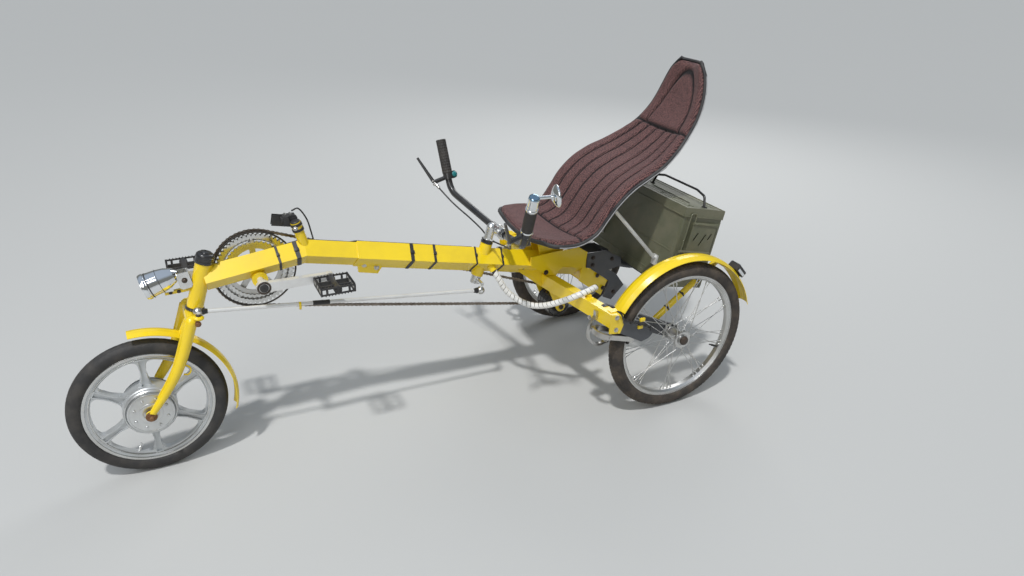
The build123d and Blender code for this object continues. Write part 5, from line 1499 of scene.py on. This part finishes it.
# Where the seat's bottom ends and its back begins, where the pillow begins, and the sewn channels' shares
PAD_KNEE = (277, 553)
PAD_NECK = (-111, 833)
PAD_CHANNELS = (-0.74, -0.47, -0.17, 0.17, 0.47, 0.74)


def seat_line():
    # A smooth line along the seat's edge (ahead, up, half width) and how far along the side view it runs
    line = smooth_path(SEAT_EDGE, 12)
    return line, walk([p.xy for p in line])


def seat_at(line, lengths, distance):
    # The edge line's place at this distance, and the way up from it
    i, share = stretch_at(lengths, distance)
    ahead, behind = line[min(i + 3, len(line) - 1)], line[max(i - 2, 0)]
    along = (ahead - behind).xy.normalized()
    return line[i].lerp(line[i + 1], share), Vector((along.y, -along.x))


def seat_place(here, up, across, lift):
    return at(here.x + up.x * lift, across, here.y + up.y * lift)


def nearest_length(line, lengths, x, z):
    return min(zip(lengths, line), key=lambda pair: (pair[1].x - x) ** 2 + (pair[1].y - z) ** 2)[0]


def bulge(distance, width):
    return math.exp(-(distance / width) ** 2)


def pad_form(distance, t, half, round_end, knee, neck, end):
    # The pad's height over its base and how dark its seams' creases are painted, as painted shade; t goes
    # from -1 to 1 across it
    rim = min((1 - abs(t)) * half / 20.0, 1)
    crown = math.sqrt(max(1 - (1 - rim) ** 2, 0)) * round_end
    height = 4 + 16 * crown + 3 * (1 - t * t)
    seam = 0.0
    if knee < distance < neck:
        spread = min((distance - knee) / 40, (neck - distance) / 40, 1)
        for c in PAD_CHANNELS:
            height -= 8.5 * bulge((t - c) * half, 4.6) * min(max(spread, 0) + 0.35, 1)
            seam = max(seam, 1.5 * bulge((t - c) * half, 3.8))
    height -= 9.0 * bulge(distance - knee, 6.0)
    height -= 9.0 * bulge(distance - neck, 7.0)
    seam = max(seam, 1.3 * bulge(distance - knee, 3.4), 1.4 * bulge(distance - neck, 4.0))
    if distance > neck:
        # The pillow stands proud inside an arched seam
        v = (distance - neck) / (end - neck)
        edge = (abs(t) / 0.66) ** 2.6 + max(v - 0.12, 0) ** 2 / 0.56
        height -= 8.0 * bulge((edge - 1.0) * 40, 7.0)
        seam = max(seam, 1.4 * bulge((edge - 1.0) * 40, 4.4))
        if edge < 1.0:
            height += 9.0 * (1 - edge) ** 0.5
    return height, min(seam, 1.0)


def pad_faces(rows, cols):
    # The pad's upper face, its underside after it, and the edge between them
    w = cols + 1
    under = (rows + 1) * w
    faces = []
    for i in range(rows):
        for k in range(cols):
            a, b, c, d = i * w + k, i * w + k + 1, (i + 1) * w + k + 1, (i + 1) * w + k
            faces.append((a, b, c, d))
            faces.append((under + d, under + c, under + b, under + a))
    loop = [k for k in range(cols)] + [i * w + cols for i in range(rows)]
    loop += [rows * w + k for k in range(cols, 0, -1)] + [i * w for i in range(rows, 0, -1)]
    for p, q in zip(loop, loop[1:] + loop[:1]):
        faces.append((q, p, under + p, under + q))
    return faces


def pad_piece():
    line, lengths = seat_line()
    knee, neck = (nearest_length(line, lengths, *place) for place in (PAD_KNEE, PAD_NECK))
    start, end = 4.0, lengths[-1] - 8.0
    rows, cols = 330, 132
    upper, under, weave, crease_shade = [], [], [], []
    for i in range(rows + 1):
        distance = start + (end - start) * i / rows
        here, up = seat_at(line, lengths, distance)
        close = min(distance - start, end - distance)
        round_end = math.sqrt(max(1 - (1 - min(close / 26.0, 1)) ** 2, 0))
        half = (here.z - 8) * (0.80 + 0.20 * round_end)
        for k in range(cols + 1):
            t = -1 + 2 * k / cols
            height, seam = pad_form(distance, t, half, round_end, knee, neck, end)
            dish = -SEAT_DISH * (1 - t * t)
            wrinkle = 0.7 * noise.noise(Vector((distance / 34, t * half / 26, 3.1)))
            upper.append(seat_place(here, up, t * half, height + dish + wrinkle))
            under.append(seat_place(here, up, t * half, 0.6 + dish))
            weave.append((t * half / 1000, distance / 1000))
            crease_shade.append(seam)
    made = from_data("seat_pad_mesh", upper + under, pad_faces(rows, cols), MESH_CLOTH, "frame",
                     slot="seat_mesh")
    layer = made.data.uv_layers.new(name="weave")
    for one in made.data.loops:
        layer.data[one.index].uv = weave[one.vertex_index % len(weave)]
    # Painted shade for the seams' creases, kept per point for the cloth material
    mark = made.data.attributes.new("crease_shade", "FLOAT", "POINT")
    for one, value in zip(mark.data, crease_shade + [0.0] * len(crease_shade)):
        one.value = value
    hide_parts("seat_pad")


def make_mesh_cloth():
    # Open knitted mesh: small bumps in rows over a dark ground, with painted shade darkening the seams'
    # creases
    made = bpy.data.materials.new("seat_mesh_cloth")
    made.use_nodes = True
    tree = made.node_tree
    shader = tree.nodes["Principled BSDF"]
    shader.inputs["Roughness"].default_value = 0.85
    shader.inputs["Sheen Weight"].default_value = 0.08
    shader.inputs["Sheen Roughness"].default_value = 0.5
    where = add(tree, "ShaderNodeUVMap", uv_map="weave")
    scaled = add(tree, "ShaderNodeMapping", {"Vector": where.outputs["UV"]})
    scaled.inputs["Scale"].default_value = (215, 310, 1)
    cells = add(tree, "ShaderNodeTexVoronoi", {"Vector": scaled.outputs["Vector"]}, Scale=1.0, Randomness=0.3,
                feature="F1")
    shaped = add(tree, "ShaderNodeMapRange", {"Value": cells.outputs["Distance"]})
    shaped.inputs["From Min"].default_value = 0.22
    shaped.inputs["From Max"].default_value = 0.60
    rows = add(tree, "ShaderNodeMapping", {"Vector": where.outputs["UV"]})
    rows.inputs["Scale"].default_value = (9, 260, 1)
    row_noise = add(tree, "ShaderNodeTexNoise", {"Vector": rows.outputs["Vector"]}, Scale=1.0, Detail=2.0)
    ramp = add(tree, "ShaderNodeValToRGB", {"Fac": shaped.outputs["Result"]})
    ramp.color_ramp.elements[0].color = (0.27, 0.125, 0.115, 1)
    ramp.color_ramp.elements[1].color = (0.028, 0.013, 0.014, 1)
    ramp.color_ramp.elements[1].position = 0.8
    tint = add(tree, "ShaderNodeMix", data_type="RGBA", blend_type="MULTIPLY")
    tint.inputs[0].default_value = 0.5
    tree.links.new(ramp.outputs["Color"], tint.inputs[6])
    light_rows = add(tree, "ShaderNodeMapRange", {"Value": row_noise.outputs["Fac"]})
    light_rows.inputs["To Min"].default_value = 0.45
    light_rows.inputs["To Max"].default_value = 1.45
    tree.links.new(light_rows.outputs["Result"], tint.inputs[7])
    # Painted shade: the seams' creases go near black
    crease_shade = add(tree, "ShaderNodeAttribute", attribute_name="crease_shade")
    dark = add(tree, "ShaderNodeMix", data_type="RGBA")
    tree.links.new(crease_shade.outputs["Fac"], dark.inputs[0])
    tree.links.new(tint.outputs[2], dark.inputs[6])
    dark.inputs[7].default_value = (0.008, 0.005, 0.006, 1)
    tree.links.new(dark.outputs[2], shader.inputs["Base Color"])
    bump = add(tree, "ShaderNodeBump", {"Height": shaped.outputs["Result"]}, Strength=0.55,
               Distance=0.0012, invert=True)
    tree.links.new(bump.outputs["Normal"], shader.inputs["Normal"])
    return made


MESH_CLOTH = make_mesh_cloth()


def binding_piece():
    # A dark edge all round the pad, and a thin pale line along the outside of each side: a painted highlight
    # on the shell's edge
    line, lengths = seat_line()
    total = lengths[-1]
    lift, inset, steps, across, margin = 1.5, 3.0, 90, 16, 3.0
    sides = []
    edge_highlight = Build()
    for sign in (1, -1):
        run, thin = [], []
        for i in range(steps + 1):
            here, up = seat_at(line, lengths, total * i / steps)
            run.append(seat_place(here, up, sign * (here.z - inset), lift))
            if 4 <= i < 87:
                thin.append(seat_place(here, up, sign * (here.z + 2.0), -1.2))
        sides.append(run)
        edge_highlight.tube(thin, 1.7, 8)
    ends = []
    for distance in (margin, total - margin):
        here, up = seat_at(line, lengths, distance)
        shares = [1 - 2 * k / across for k in range(1, across)]
        ends.append([seat_place(here, up, t * (here.z - inset),
                                lift - SEAT_DISH * (1 - t * t)) for t in shares])
    left, right = sides
    front, back = ends
    loop = left + back + list(reversed(right)) + list(reversed(front))
    work = Build()
    work.tube(loop + loop[:2], 5.2, 10)
    work.object("seat_edge_binding", BINDING, "frame", slot="black_plastic")
    edge_highlight.object("seat_edge_highlight", EDGE_HIGHLIGHT_PAINT, "frame", slot="black_plastic")


pad_piece()
binding_piece()
